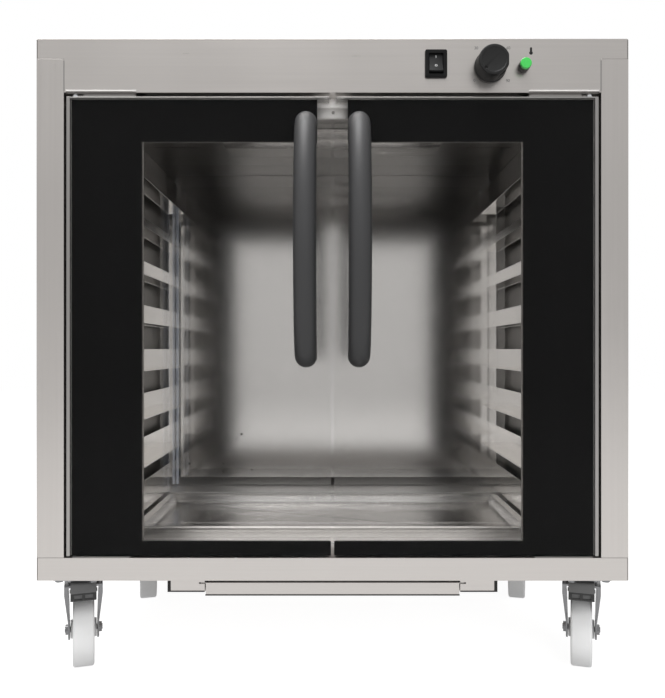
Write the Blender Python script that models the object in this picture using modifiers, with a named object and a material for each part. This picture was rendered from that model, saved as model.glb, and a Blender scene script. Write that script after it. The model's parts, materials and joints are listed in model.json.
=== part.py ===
# A two-door proofing cabinet on casters, with seven pairs of tray slides.
# Lengths are in metres. X runs to the right, Z up, and the doors face -Y.
# The origin is on the floor, under the middle of the cabinet's overall box.
import math

import bmesh
import bpy
from mathutils import Matrix, Vector

# Whole cabinet
body_width = 0.784
body_height = 0.718
ground_clearance = 0.150
sheet = 0.0010          # casing and liner sheet
gap = 0.0003            # between faces that touch
overrun = 0.004         # a cutter reaches this far past the face it cuts
edge_radius = 0.0006

# Front of the casing
post_width = 0.036
fascia_height = 0.0713
fascia_strip_height = 0.0265
bottom_rail_height = 0.0302
reveal_depth = 0.0297
rear_fold = 0.020

# Cavity
cavity_inset = 0.034            # from the side of the door opening
fan_space = 0.080               # baffle to liner back
rear_space = 0.081              # liner back to the rear of the cabinet
floor_drop = 0.0072             # cavity floor below the door opening
lintel_drop = 0.0107
sill_rise = 0.0128
floor_front_length = 0.362      # flat floor before the raised rear ledge
ledge_rise = 0.0200
ceiling_slot_width = 0.004
ceiling_slot_length = 0.079
ceiling_slot_depth = 0.243      # behind the front frame
ceiling_slot_inset = 0.021      # from the side liner

# Back baffle
baffle_side_gap = 0.0155
baffle_floor_gap = 0.013
baffle_fold = 0.030
baffle_hole_radius = 0.0024
# X, and height above the baffle's lower edge, as shares of the baffle's half width
baffle_hole_shares = ((-0.915, 0.086), (-0.698, 0.086), (-0.698, 0.036), (-0.517, 0.048), (-0.581, 0.275))

# Tray racks
rack_width = 0.017              # side liner to the rack's inner face
rack_front = 0.014              # behind the front frame
rack_length = 0.433
rack_baffle_gap = 0.002
rack_top_gap = 0.062            # below the ceiling
slide_pitch = 0.0711
slide_width = 0.029
first_window_rise = 0.0504      # lowest window above the rack's lower edge
window_height = 0.038
window_front = 0.030            # behind the rack's front edge
window_back = 0.068

# Water basin, heater, fan and probe
basin_side_gap = 0.022
basin_front = 0.105             # behind the front frame
basin_ledge_gap = 0.0063
basin_height = 0.0178
basin_wall = 0.0015
basin_rim = 0.012
fan_height = 0.300              # above the cavity floor
fan_radius = 0.090
fan_disc = 0.002
fan_width = 0.034
fan_blade_thickness = 0.002
fan_blade_length = 0.026
fan_blade_count = 12
fan_hub_radius = 0.014
fan_liner_gap = 0.012
motor_radius = 0.038
motor_length = 0.055
motor_flange_radius = 0.050
motor_flange = 0.004
shaft_radius = 0.004
shaft_clearance = 0.0006
heater_radius = 0.116
heater_tube_radius = 0.00425
heater_liner_gap = 0.030
heater_opening = math.radians(24)
heater_fall_share = 1.4         # drop of the leads below the loop, in tube radii
probe_radius = 0.003
probe_rack_gap = 0.0003
probe_baffle_gap = 0.007
probe_top_drop = 0.004          # below the rack's upper edge
probe_bottom = 0.0207
probe_bend = 0.008

# Controls, measured along X from the middle and down from the top of the cabinet
switch_x = 0.137
switch_drop = 0.0337
switch_width = 0.029
switch_height = 0.037
switch_bezel = 0.003
switch_body_depth = 0.025
switch_wall = 0.0015
switch_lip = 0.0035             # bezel past the body
rocker_side_gap = 0.0004
rocker_end_gap = 0.0016
rocker_pivot_depth = 0.004
rocker_thickness = 0.007
rocker_dish = 0.002
rocker_back = 0.006
rocker_tilt = math.radians(12)
knob_x = 0.2086
knob_drop = 0.0377
knob_radius = 0.0215
knob_face_radius = 0.0203
knob_length = 0.029
knob_skirt = 0.004
knob_round = 0.003
knob_notch_width = 0.0016
knob_notch_length = 0.009
knob_notch_depth = 0.0012
knob_rest_turn = math.radians(-135)     # the notch points to the lower left at rest
thermostat_size = 0.040
thermostat_depth = 0.032
thermostat_shaft_radius = 0.003
thermostat_shaft_length = 0.020
thermostat_shaft_clearance = 0.0005
lamp_x = 0.2528
lamp_radius = 0.0075
lamp_length = 0.016
lamp_body_radius = 0.006
lamp_body_depth = 0.024

# Doors
door_side_gap = 0.0035
door_top_gap = 0.0054
door_bottom_gap = 0.0024
door_centre_gap = 0.0044
frame_depth = 0.0195
frame_side_lip = 0.0045
frame_top_lip = 0.0020
frame_stile = 0.060
frame_top_rail = 0.045
frame_bottom_rail = 0.016
frame_rail_stop = 0.056         # the wide part of the top rail ends here, from the middle
frame_end_gap = 0.0020
glass_thickness = 0.004
glass_seat_gap = 0.0008
glass_corner = 0.003
print_thickness = 0.0005
print_top = 0.058
print_bottom = 0.019
print_side = 0.0952
notch_half_width = 0.0204
seal_width = 0.007
seal_inset = 0.0010
seal_side_inset = 0.0125

# Handles
handle_x = 0.035
handle_top_drop = 0.0408        # upper foot below the door opening's head
handle_span = 0.3086
handle_reach = 0.0665           # glass to the outermost point of the handle
handle_radius = 0.01475
handle_foot = 0.0012
handle_steps = 26
stud_radius = 0.0035
stud_clearance = 0.0006
washer_radius = 0.011
washer_thickness = 0.004

# Hinges
pivot_inset = 0.0135            # from the side of the door opening
pivot_depth = 0.008
pin_radius = 0.0020
pin_clearance = 0.0004
pin_engagement = 0.010
knuckle_radius = 0.0046
leaf_thickness = 0.0042
leaf_length = 0.082
bracket_thickness = 0.0012
bracket_width = 0.0150
bracket_length = 0.075

# Drip tray and its rails
drip_front = 0.030              # behind the front face
drip_half_width = 0.173
drip_length = 0.300
drip_top_gap = 0.0117           # below the base
drip_height = 0.0179
drip_wall = 0.0012
drip_rim = 0.0070
drip_rail_width = 0.051
drip_rail_height = 0.0243
drip_rail_length = 0.340
groove_height = 0.0020
groove_depth = 0.0078

# Casters
caster_inset = 0.042            # from the side of the cabinet
front_caster_depth = 0.062
rear_caster_inset = 0.210
caster_trail = 0.036
front_rest_turn = math.radians(18)
rear_rest_turn = math.radians(15)
caster_rail_width = 0.072
caster_rail_front = 0.018
caster_rail_rear = 0.062
caster_rail_height = 0.0035
plate_length = 0.080
plate_width = 0.062
plate_thickness = 0.003
wheel_radius = 0.0525
wheel_width = 0.029
wheel_round = 0.003
wheel_web = 0.014
wheel_tread = 0.010
wheel_hub_radius = 0.013
wheel_hub_gap = 0.0004
wheel_sides = 28
leg_gap = 0.004                 # tread to fork leg
leg_thickness = 0.0026
leg_end_radius = 0.013
crown_radius = 0.022
crown_thickness = 0.003
crown_clearance = 0.0232        # above the wheel
axle_radius = 0.004
axle_clearance = 0.0006
bolt_radius = 0.0075
bolt_height = 0.005
pedal_half_width = 0.0170
pedal_front = 0.036             # in front of the swivel axis
pedal_thickness = 0.012
pedal_height = 0.025
pedal_drop = 0.0140             # below the crown's underside
pedal_pivot_front = 0.016
pedal_pivot_drop = 0.0055
pedal_pin_radius = 0.0026
pedal_arm_height = 0.007
pedal_slot = 0.010
pedal_slot_depth = 0.003

# Rear
gland_reach = 0.012
gland_radius = 0.013
gland_nut_radius = 0.010
gland_bore = 0.0045
gland_flange = 0.004
gland_inside = 0.008
gland_inset = 0.092             # from the side of the cabinet
gland_rise = 0.055              # above the base
vent_count = 6
vent_length = 0.110
vent_height = 0.004
vent_pitch = 0.012
vent_drop = 0.090

# Places that follow from the sizes above
half_width = body_width / 2
opening_half = half_width - post_width
cavity_half_width = opening_half - cavity_inset
baffle_depth = rack_front + rack_length + rack_baffle_gap       # behind the front frame
cavity_depth = baffle_depth + fan_space
body_depth = reveal_depth + gap + cavity_depth + rear_space
front_y = (handle_reach - body_depth - gland_reach) / 2
rear_y = front_y + body_depth
base_z = ground_clearance
top_z = base_z + body_height
opening_bottom = base_z + bottom_rail_height
opening_top = top_z - fascia_height
frame_y = front_y + reveal_depth + gap      # front frame, behind the reveals
liner_y = frame_y + sheet + gap
liner_back_y = frame_y + cavity_depth
floor_z = opening_bottom - floor_drop
ceiling_z = opening_top + gap
ledge_y = liner_y + floor_front_length
ledge_z = floor_z + ledge_rise
door_outer = opening_half - door_side_gap
door_bottom = opening_bottom + door_bottom_gap
door_top = opening_top - door_top_gap
glass_outer = door_outer - frame_side_lip - glass_seat_gap
glass_top = door_top - frame_top_lip - glass_seat_gap
glass_inner = door_centre_gap / 2
window_half_width = glass_outer - print_side
print_y = front_y + glass_thickness + gap
web_y = print_y + print_thickness + gap
pivot_x = opening_half - pivot_inset
pivot_y = front_y + pivot_depth
handle_top_z = opening_top - handle_top_drop
handle_bottom_z = handle_top_z - handle_span
rack_y = frame_y + rack_front
rack_bottom = ledge_z + gap
rack_height = ceiling_z - rack_top_gap - rack_bottom
rack_half_width = cavity_half_width - rack_width
slide_count = 1 + int((rack_height - first_window_rise - window_height) / slide_pitch)
window_length = rack_length - window_front - window_back
baffle_y = frame_y + baffle_depth
baffle_half_width = cavity_half_width - baffle_side_gap
fan_z = floor_z + fan_height
switch_z = top_z - switch_drop
knob_z = top_z - knob_drop
basin_y = frame_y + basin_front
basin_length = ledge_y - basin_ledge_gap - basin_y
basin_half_width = cavity_half_width - basin_side_gap
gland_x = half_width - gland_inset
caster_x = half_width - caster_inset
rear_caster_depth = body_depth - rear_caster_inset
caster_rail_length = body_depth - caster_rail_front - caster_rail_rear
axle_z = wheel_radius * math.cos(math.pi / wheel_sides)
crown_bottom = axle_z + wheel_radius + crown_clearance
crown_top = crown_bottom + crown_thickness
leg_inner = wheel_width / 2 + leg_gap
plate_top = base_z - gap - caster_rail_height - gap

finishes = {
    "stainless": ((0.60, 0.58, 0.56), 0.34, 1.0),
    "liner_steel": ((0.62, 0.61, 0.59), 0.22, 1.0),
    "zinc": ((0.55, 0.56, 0.57), 0.30, 1.0),
    "glass": ((0.80, 0.84, 0.84), 0.05, 0.0),
    "black_print": ((0.010, 0.010, 0.010), 0.15, 0.0),
    "black_plastic": ((0.020, 0.020, 0.020), 0.40, 0.0),
    "grey_handle": ((0.060, 0.060, 0.062), 0.45, 0.0),
    "rubber": ((0.030, 0.030, 0.030), 0.80, 0.0),
    "wheel_grey": ((0.66, 0.66, 0.66), 0.55, 0.0),
    "lamp_green": ((0.030, 0.45, 0.080), 0.20, 0.0),
    "heater_steel": ((0.22, 0.21, 0.20), 0.45, 1.0),
    "cast_alloy": ((0.50, 0.51, 0.52), 0.50, 1.0),
}

for leftover in list(bpy.data.objects):
    bpy.data.objects.remove(leftover)


def add_collection(name):
    group = bpy.data.collections.new(name)
    bpy.context.scene.collection.children.link(group)
    return group


parts = add_collection("proofing_cabinet")
cutters = add_collection("cutters")


def finish_material(name):
    """One Principled material for each object, in the colour of its finish."""
    colour, roughness, metallic = finishes[name]
    material = bpy.data.materials.new(name)
    material.use_nodes = True
    shader = material.node_tree.nodes["Principled BSDF"]
    shader.inputs["Base Color"].default_value = (*colour, 1)
    shader.inputs["Roughness"].default_value = roughness
    shader.inputs["Metallic"].default_value = metallic
    if name == "glass":
        shader.inputs["Transmission Weight"].default_value = 1
    return material


def add_object(name, mesh, finish=None):
    """Put a mesh in the scene: a part when it has a finish, or else a cutter."""
    item = bpy.data.objects.new(name, mesh)
    if finish:
        parts.objects.link(item)
        mesh.materials.append(finish_material(finish))
    else:
        cutters.objects.link(item)
        item.hide_render = True
        item.display_type = "WIRE"
    return item


def smooth(item, angle=math.radians(35)):
    item.data.shade_smooth()
    item.data.set_sharp_from_angle(angle=angle)
    return item


def box(name, low, high, finish=None):
    """A block between two corners, with its origin at its middle."""
    low, high = Vector(low), Vector(high)
    mesh = bpy.data.meshes.new(name)
    form = bmesh.new()
    bmesh.ops.create_cube(form, size=1, matrix=Matrix.Diagonal((*(high - low), 1)))
    form.to_mesh(mesh)
    form.free()
    item = add_object(name, mesh, finish)
    item.location = (low + high) / 2
    return item


def boxes(name, corners):
    """Several separate blocks in one cutter."""
    mesh = bpy.data.meshes.new(name)
    form = bmesh.new()
    for low, high in corners:
        low, high = Vector(low), Vector(high)
        place = Matrix.Translation((low + high) / 2) @ Matrix.Diagonal((*(high - low), 1))
        bmesh.ops.create_cube(form, size=1, matrix=place)
    form.to_mesh(mesh)
    form.free()
    return add_object(name, mesh)


def rod(name, start, end, radius, sides=16, finish=None):
    """A straight round bar from one point to another."""
    start, end = Vector(start), Vector(end)
    mesh = bpy.data.meshes.new(name)
    form = bmesh.new()
    bmesh.ops.create_cone(form, cap_ends=True, segments=sides, radius1=radius, radius2=radius,
                          depth=(end - start).length)
    form.to_mesh(mesh)
    form.free()
    item = add_object(name, mesh, finish)
    item.location = (start + end) / 2
    item.rotation_euler = (end - start).to_track_quat("Z", "Y").to_euler()
    return smooth(item)


def curve_solid(name, curve, finish):
    """Turn a curve into a closed mesh object that takes Boolean modifiers."""
    guide = bpy.data.objects.new(name + "_curve", curve)
    cutters.objects.link(guide)
    bpy.context.view_layer.update()
    mesh = bpy.data.meshes.new_from_object(guide.evaluated_get(bpy.context.evaluated_depsgraph_get()))
    mesh.name = name
    mesh.materials.clear()
    bpy.data.objects.remove(guide)
    form = bmesh.new()
    form.from_mesh(mesh)
    bmesh.ops.remove_doubles(form, verts=form.verts, dist=gap / 10)
    bmesh.ops.recalc_face_normals(form, faces=form.faces)
    form.to_mesh(mesh)
    form.free()
    return add_object(name, mesh, finish)


turns = {"X": (math.pi / 2, 0, math.pi / 2), "Y": (math.pi / 2, 0, 0), "Z": (0, 0, 0)}


def prism(name, outline, along, start, end, finish=None, holes=()):
    """Extrude a flat outline: XY along Z, XZ along Y, or YZ along X."""
    curve = bpy.data.curves.new(name, "CURVE")
    curve.dimensions = "2D"
    curve.fill_mode = "BOTH"
    curve.extrude = abs(end - start) / 2
    for loop in (outline, *holes):
        spline = curve.splines.new("POLY")
        spline.points.add(len(loop) - 1)
        for point, (u, v) in zip(spline.points, loop):
            point.co = (u, v, 0, 1)
        spline.use_cyclic_u = True
    item = curve_solid(name, curve, finish)
    item.data.shade_flat()
    item.rotation_euler = turns[along]
    item.location["XYZ".index(along)] = (start + end) / 2
    return item


def pipe(name, path, radius, finish, resolution=2):
    """A round bar that follows a path of points."""
    curve = bpy.data.curves.new(name, "CURVE")
    curve.dimensions = "3D"
    curve.bevel_depth = radius
    curve.bevel_resolution = resolution
    curve.use_fill_caps = True
    spline = curve.splines.new("POLY")
    spline.points.add(len(path) - 1)
    for point, place in zip(spline.points, path):
        point.co = (*place, 1)
    return smooth(curve_solid(name, curve, finish))


def turned(name, profile, centre, along, sides, finish, ring=False):
    """Spin a profile of (radius, height) points, listed from its top down the outside."""
    mesh = bpy.data.meshes.new(name)
    form = bmesh.new()
    points = [form.verts.new((radius, 0, height)) for radius, height in profile]
    for first, second in zip(points, points[1:]):
        form.edges.new((first, second))
    if ring:
        form.edges.new((points[-1], points[0]))
    form.to_mesh(mesh)
    form.free()
    item = add_object(name, mesh, finish)
    item.location = centre
    item.rotation_euler = turns[along]
    screw = item.modifiers.new("turned", "SCREW")
    screw.steps = sides
    screw.render_steps = sides
    screw.use_merge_vertices = True
    screw.merge_threshold = gap / 10
    screw.use_smooth_shade = True
    return item


def arc(centre, radius, start, end, steps):
    """Points of a flat arc, from one angle to another."""
    return [(centre[0] + radius * math.cos(start + (end - start) * step / steps),
             centre[1] + radius * math.sin(start + (end - start) * step / steps))
            for step in range(steps + 1)]


def combine(item, tool, operation):
    boolean = item.modifiers.new(tool.name, "BOOLEAN")
    boolean.operation = operation
    boolean.object = tool
    carry(item, tool)               # so that a turned piece keeps its holes and bosses in place
    return item


def cut(item, *tools):
    for tool in tools:
        combine(item, tool, "DIFFERENCE")
    return item


def join(item, *tools):
    for tool in tools:
        combine(item, tool, "UNION")
    return item


def pivot(name, place):
    """An empty on a joint's axis, which carries the pieces that move about it."""
    empty = bpy.data.objects.new(name, None)
    empty.empty_display_size = plate_width
    empty.location = place
    parts.objects.link(empty)
    return empty


def carry(holder, *items):
    bpy.context.view_layer.update()
    for item in items:
        item.parent = holder
        item.matrix_parent_inverse = holder.matrix_world.inverted()


def span(side, inner, outer):
    """The X range of a piece on one side of the middle: -1 is left, 1 is right."""
    return sorted((side * inner, side * outer))


sides = {"left": -1, "right": 1}


def make_casing():
    """The outer sheets: posts, fascia and rail at the front, and plain panels behind."""
    for word, side in sides.items():
        skin = half_width - sheet
        post = [(skin, front_y + sheet), (opening_half + sheet, front_y + sheet),
                (opening_half + sheet, frame_y - gap), (opening_half, frame_y - gap),
                (opening_half, front_y), (half_width, front_y),
                (half_width, rear_y - sheet - gap), (skin - rear_fold, rear_y - sheet - gap),
                (skin - rear_fold, rear_y - 2 * sheet - gap), (skin, rear_y - 2 * sheet - gap)]
        outline = [(side * x, y) for x, y in post]
        panel = prism(word + "_side_panel", outline, "Z", base_z, top_z - sheet - gap, "stainless")
        low, high = span(side, opening_half - overrun, skin + gap / 2)
        rail_cut = box(word + "_rail_cut", (low, front_y - overrun, base_z - overrun),
                       (high, frame_y, opening_bottom + gap))
        strip_cut = box(word + "_strip_cut", (low, front_y - overrun, top_z - fascia_strip_height - gap),
                        (high, frame_y, top_z + overrun))
        fold_low, fold_high = span(side, skin - rear_fold - overrun, skin - gap / 2)
        base_cut = box(word + "_base_cut", (fold_low, rear_y - rear_fold, base_z - overrun),
                       (fold_high, rear_y + overrun, base_z + sheet + gap))
        cut(panel, rail_cut, strip_cut, base_cut)

    inner_half = half_width - sheet - gap
    box("top_cover", (-half_width, front_y + sheet + gap, top_z - sheet), (half_width, rear_y, top_z),
        "stainless")
    box("base_panel", (-inner_half, front_y + sheet + gap, base_z),
        (inner_half, rear_y - sheet - gap, base_z + sheet), "stainless")
    make_rear_panel(inner_half)
    make_fascia(inner_half)
    rail = [(front_y, base_z), (front_y + sheet, base_z), (front_y + sheet, opening_bottom - sheet),
            (frame_y - gap, opening_bottom - sheet), (frame_y - gap, opening_bottom),
            (front_y, opening_bottom)]
    prism("bottom_rail", rail, "X", -inner_half, inner_half, "stainless")


def make_rear_panel(inner_half):
    panel = box("rear_panel", (-inner_half, rear_y - sheet, base_z), (inner_half, rear_y, top_z - sheet - gap),
                "stainless")
    slots = []
    for row in range(vent_count):
        height = top_z - vent_drop - row * vent_pitch
        slots.append(((-vent_length / 2, rear_y - overrun, height - vent_height),
                      (vent_length / 2, rear_y + overrun, height)))
    gland_hole = rod("gland_hole", (gland_x, rear_y - overrun, base_z + gland_rise),
                     (gland_x, rear_y + overrun, base_z + gland_rise), gland_nut_radius)
    cut(panel, boxes("vent_slots", slots), gland_hole)
    nut = gland_nut_radius - pin_clearance
    profile = [(gland_bore, gland_reach), (nut, gland_reach), (gland_radius, gland_reach - gland_flange),
               (gland_radius, gap), (nut - gap, gap), (nut - gap, -gland_inside), (gland_bore, -gland_inside)]
    gland = turned("cable_gland", profile, (gland_x, rear_y, base_z + gland_rise), "Y", 20, "black_plastic",
                   ring=True)
    gland.rotation_euler = (-math.pi / 2, 0, 0)


def make_fascia(inner_half):
    """A T-shaped front plate with a fold along the head of the door opening."""
    narrow = opening_half - gap
    strip_z = top_z - fascia_strip_height
    fascia = box("control_fascia", (-inner_half, front_y, opening_top), (inner_half, frame_y - gap, top_z),
                 "stainless")
    behind = box("fascia_back_cut", (-half_width - overrun, front_y + sheet, opening_top + sheet),
                 (half_width + overrun, frame_y + overrun, top_z + overrun))
    cut(fascia, behind)
    for word, side in sides.items():
        low, high = span(side, narrow, half_width + overrun)
        cut(fascia, box(word + "_post_cut", (low, front_y - overrun, opening_top - overrun),
                        (high, frame_y + overrun, strip_z)))
    opening_width = switch_width - 2 * switch_lip + 2 * gap
    opening_height = switch_height - 2 * switch_lip + 2 * gap
    switch_hole = box("switch_hole",
                      (switch_x - opening_width / 2, front_y - overrun, switch_z - opening_height / 2),
                      (switch_x + opening_width / 2, front_y + overrun, switch_z + opening_height / 2))
    knob_hole = rod("knob_hole", (knob_x, front_y - overrun, knob_z), (knob_x, front_y + overrun, knob_z),
                    thermostat_shaft_radius + thermostat_shaft_clearance)
    lamp_hole = rod("lamp_hole", (lamp_x, front_y - overrun, knob_z), (lamp_x, front_y + overrun, knob_z),
                    lamp_body_radius + gap)
    cut(fascia, switch_hole, knob_hole, lamp_hole)
    for word, side in sides.items():
        low = (side * pivot_x, pivot_y, opening_top - overrun)
        high = (side * pivot_x, pivot_y, opening_top + overrun)
        cut(fascia, rod(word + "_pin_hole", low, high, pin_radius + pin_clearance))


def make_cavity():
    """The front frame and the five liner sheets behind it."""
    frame_half = opening_half + sheet
    frame_bottom = floor_z - sheet - gap
    outline = [(-frame_half, frame_bottom), (frame_half, frame_bottom),
               (frame_half, opening_top + sheet), (-frame_half, opening_top + sheet)]
    mouth = [(-cavity_half_width, opening_bottom + sill_rise), (-cavity_half_width, opening_top - lintel_drop),
             (cavity_half_width, opening_top - lintel_drop), (cavity_half_width, opening_bottom + sill_rise)]
    prism("front_frame", outline, "Y", frame_y, frame_y + sheet, "liner_steel", holes=(mouth,))

    liner_half = cavity_half_width + sheet
    liner_end = liner_back_y - gap
    for word, side in sides.items():
        low, high = span(side, cavity_half_width, liner_half)
        box(word + "_liner", (low, liner_y, floor_z + gap), (high, liner_end, ceiling_z - gap), "liner_steel")
    top = box("liner_top", (-liner_half, liner_y, ceiling_z), (liner_half, liner_end, ceiling_z + sheet),
              "liner_steel")
    slots = []
    slot_y = frame_y + ceiling_slot_depth
    for side in sides.values():
        outer = cavity_half_width - ceiling_slot_inset
        low, high = span(side, outer - ceiling_slot_length, outer)
        slots.append(((low, slot_y, ceiling_z - overrun), (high, slot_y + ceiling_slot_width, ceiling_z + overrun)))
    cut(top, boxes("ceiling_slots", slots))

    floor = [(liner_y, floor_z - sheet), (ledge_y + sheet, floor_z - sheet), (ledge_y + sheet, ledge_z - sheet),
             (liner_end, ledge_z - sheet), (liner_end, ledge_z), (ledge_y, ledge_z), (ledge_y, floor_z),
             (liner_y, floor_z)]
    inner = cavity_half_width - gap
    prism("liner_floor", floor, "X", -inner, inner, "liner_steel")

    back = box("liner_back", (-liner_half, liner_back_y, floor_z - sheet),
               (liner_half, liner_back_y + sheet, ceiling_z + sheet), "liner_steel")
    shaft_hole = rod("shaft_hole", (0, liner_back_y - overrun, fan_z), (0, liner_back_y + overrun, fan_z),
                     shaft_radius + shaft_clearance)
    cut(back, shaft_hole)


def make_baffle():
    """The polished sheet in front of the fan, folded back along both sides."""
    lower = ledge_z + baffle_floor_gap
    upper = ceiling_z - gap
    plan = [(baffle_half_width, baffle_y), (baffle_half_width, baffle_y + baffle_fold),
            (baffle_half_width - sheet, baffle_y + baffle_fold), (baffle_half_width - sheet, baffle_y + sheet)]
    outline = [(-x, y) for x, y in plan] + [(x, y) for x, y in reversed(plan)]
    baffle = prism("back_baffle", outline, "Z", lower, upper, "liner_steel")
    for number, (across, rise) in enumerate(baffle_hole_shares, 1):
        place = Vector((across * baffle_half_width, baffle_y, lower + rise * baffle_half_width))
        reach = Vector((0, overrun, 0))
        cut(baffle, rod(f"baffle_hole_{number}", place - reach, place + reach, baffle_hole_radius, 8))


def make_racks():
    """Two folded plates; each slide is the tab of its window, folded inwards at the top edge."""
    for word, side in sides.items():
        outer = cavity_half_width - gap
        plan = [(rack_half_width, rack_y), (outer, rack_y), (outer, rack_y + sheet),
                (rack_half_width + sheet, rack_y + sheet), (rack_half_width + sheet, rack_y + rack_length - sheet),
                (outer, rack_y + rack_length - sheet), (outer, rack_y + rack_length),
                (rack_half_width, rack_y + rack_length)]
        rack = prism(word + "_tray_rack", [(side * x, y) for x, y in plan], "Z", rack_bottom,
                     rack_bottom + rack_height, "liner_steel")
        windows = []
        slides = []
        start = rack_y + window_front
        for level in range(slide_count):
            sill = rack_bottom + first_window_rise + level * slide_pitch
            head = sill + window_height
            low, high = span(side, rack_half_width - overrun, rack_half_width + sheet + overrun)
            windows.append(((low, start, sill), (high, start + window_length, head)))
            low, high = span(side, rack_half_width - slide_width, rack_half_width + sheet / 2)
            slides.append(((low, start, head + gap), (high, start + window_length, head + gap + sheet)))
        cut(rack, boxes(word + "_rack_windows", windows))
        join(rack, boxes(word + "_rack_slides", slides))


def make_basin():
    """A shallow tray with a folded rim, which stands on the cavity floor and lifts out."""
    low = Vector((-basin_half_width, basin_y, floor_z + gap))
    high = Vector((basin_half_width, basin_y + basin_length, floor_z + gap + basin_height))
    basin = box("water_basin", low, high, "liner_steel")
    side_wall = Vector((basin_rim, basin_rim, 0))
    hollow_low = low + side_wall + Vector((0, 0, basin_wall))
    hollow = box("basin_hollow", hollow_low, high - side_wall + Vector((0, 0, overrun)))
    cut(basin, hollow)
    inner = Vector((basin_wall, basin_wall, 0))
    fold_low = low + inner - Vector((0, 0, overrun))
    fold_high = high - inner - Vector((0, 0, basin_wall))
    under_rim = box("under_rim", fold_low, fold_high)
    web = Vector((basin_rim - basin_wall, basin_rim - basin_wall, 0))
    core = box("basin_core", low + web - Vector((0, 0, 2 * overrun)), high - web + Vector((0, 0, overrun)))
    cut(basin, cut(under_rim, core))
    carry(pivot("basin_lift", (0, basin_y + basin_length / 2, floor_z)), basin)


def make_fan():
    """Motor behind the liner, impeller and ring heater between liner and baffle."""
    motor_y = liner_back_y + sheet + gap
    tip = liner_back_y - fan_liner_gap - fan_width
    profile = [(0, motor_length), (motor_radius, motor_length), (motor_radius, motor_flange),
               (motor_flange_radius, motor_flange), (motor_flange_radius, 0), (shaft_radius, 0),
               (shaft_radius, tip - motor_y), (0, tip - motor_y)]
    motor = turned("fan_motor", profile, (0, motor_y, fan_z), "Y", 24, "cast_alloy")
    motor.rotation_euler = (-math.pi / 2, 0, 0)

    back = liner_back_y - fan_liner_gap
    bore = shaft_radius + shaft_clearance
    profile = [(bore, 0), (fan_hub_radius, 0), (fan_hub_radius, fan_disc - fan_width + gap),
               (fan_radius, fan_disc - fan_width + gap), (fan_radius, -fan_width), (bore, -fan_width)]
    wheel = turned("fan_impeller", profile, (0, back, fan_z), "Y", 24, "zinc", ring=True)
    wheel.rotation_euler = (-math.pi / 2, 0, 0)
    mesh = bpy.data.meshes.new("fan_blades")
    form = bmesh.new()
    size = Vector((fan_blade_thickness, fan_width - fan_disc, fan_blade_length))
    middle = Vector((0, back - size.y / 2 - gap, fan_radius - size.z / 2 - gap))
    for blade in range(fan_blade_count):
        turn = Matrix.Rotation(math.tau * blade / fan_blade_count, 4, "Y")
        place = Matrix.Translation((0, 0, fan_z)) @ turn @ Matrix.Translation(middle)
        bmesh.ops.create_cube(form, size=1, matrix=place @ Matrix.Diagonal((*size, 1)))
    form.to_mesh(mesh)
    form.free()
    join(wheel, add_object("fan_blades", mesh))
    carry(pivot("fan_spin", (0, back, fan_z)), wheel)

    loop_y = liner_back_y - heater_liner_gap
    loop = arc((0, fan_z), heater_radius, math.radians(-90) + heater_opening / 2,
               math.radians(270) - heater_opening / 2, 30)
    path = [(x, loop_y, z) for x, z in loop]
    lead_in = Vector(path[0])
    lead_out = Vector(path[-1])
    bend = Vector((0, heater_tube_radius, 0))
    tail = Vector((0, heater_liner_gap - gap, 0))
    fall = Vector((0, 0, -heater_tube_radius * heater_fall_share))
    path = [lead_in + fall + tail, lead_in + fall + bend] + path + [lead_out + fall + bend, lead_out + fall + tail]
    pipe("heating_element", path, heater_tube_radius, "heater_steel", resolution=1)

    probe_x = -(rack_half_width - probe_rack_gap - probe_radius)
    probe_y = baffle_y - probe_baffle_gap - probe_radius
    top = rack_bottom + rack_height - probe_top_drop
    bend_arc = arc((probe_y + probe_bend, top - probe_bend), probe_bend, math.radians(90), math.radians(180), 4)
    path = [(probe_x, baffle_y - gap, top)] + [(probe_x, y, z) for y, z in bend_arc]
    path.append((probe_x, probe_y, rack_bottom + probe_bottom))
    pipe("probe_tube", path, probe_radius, "liner_steel")


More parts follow.
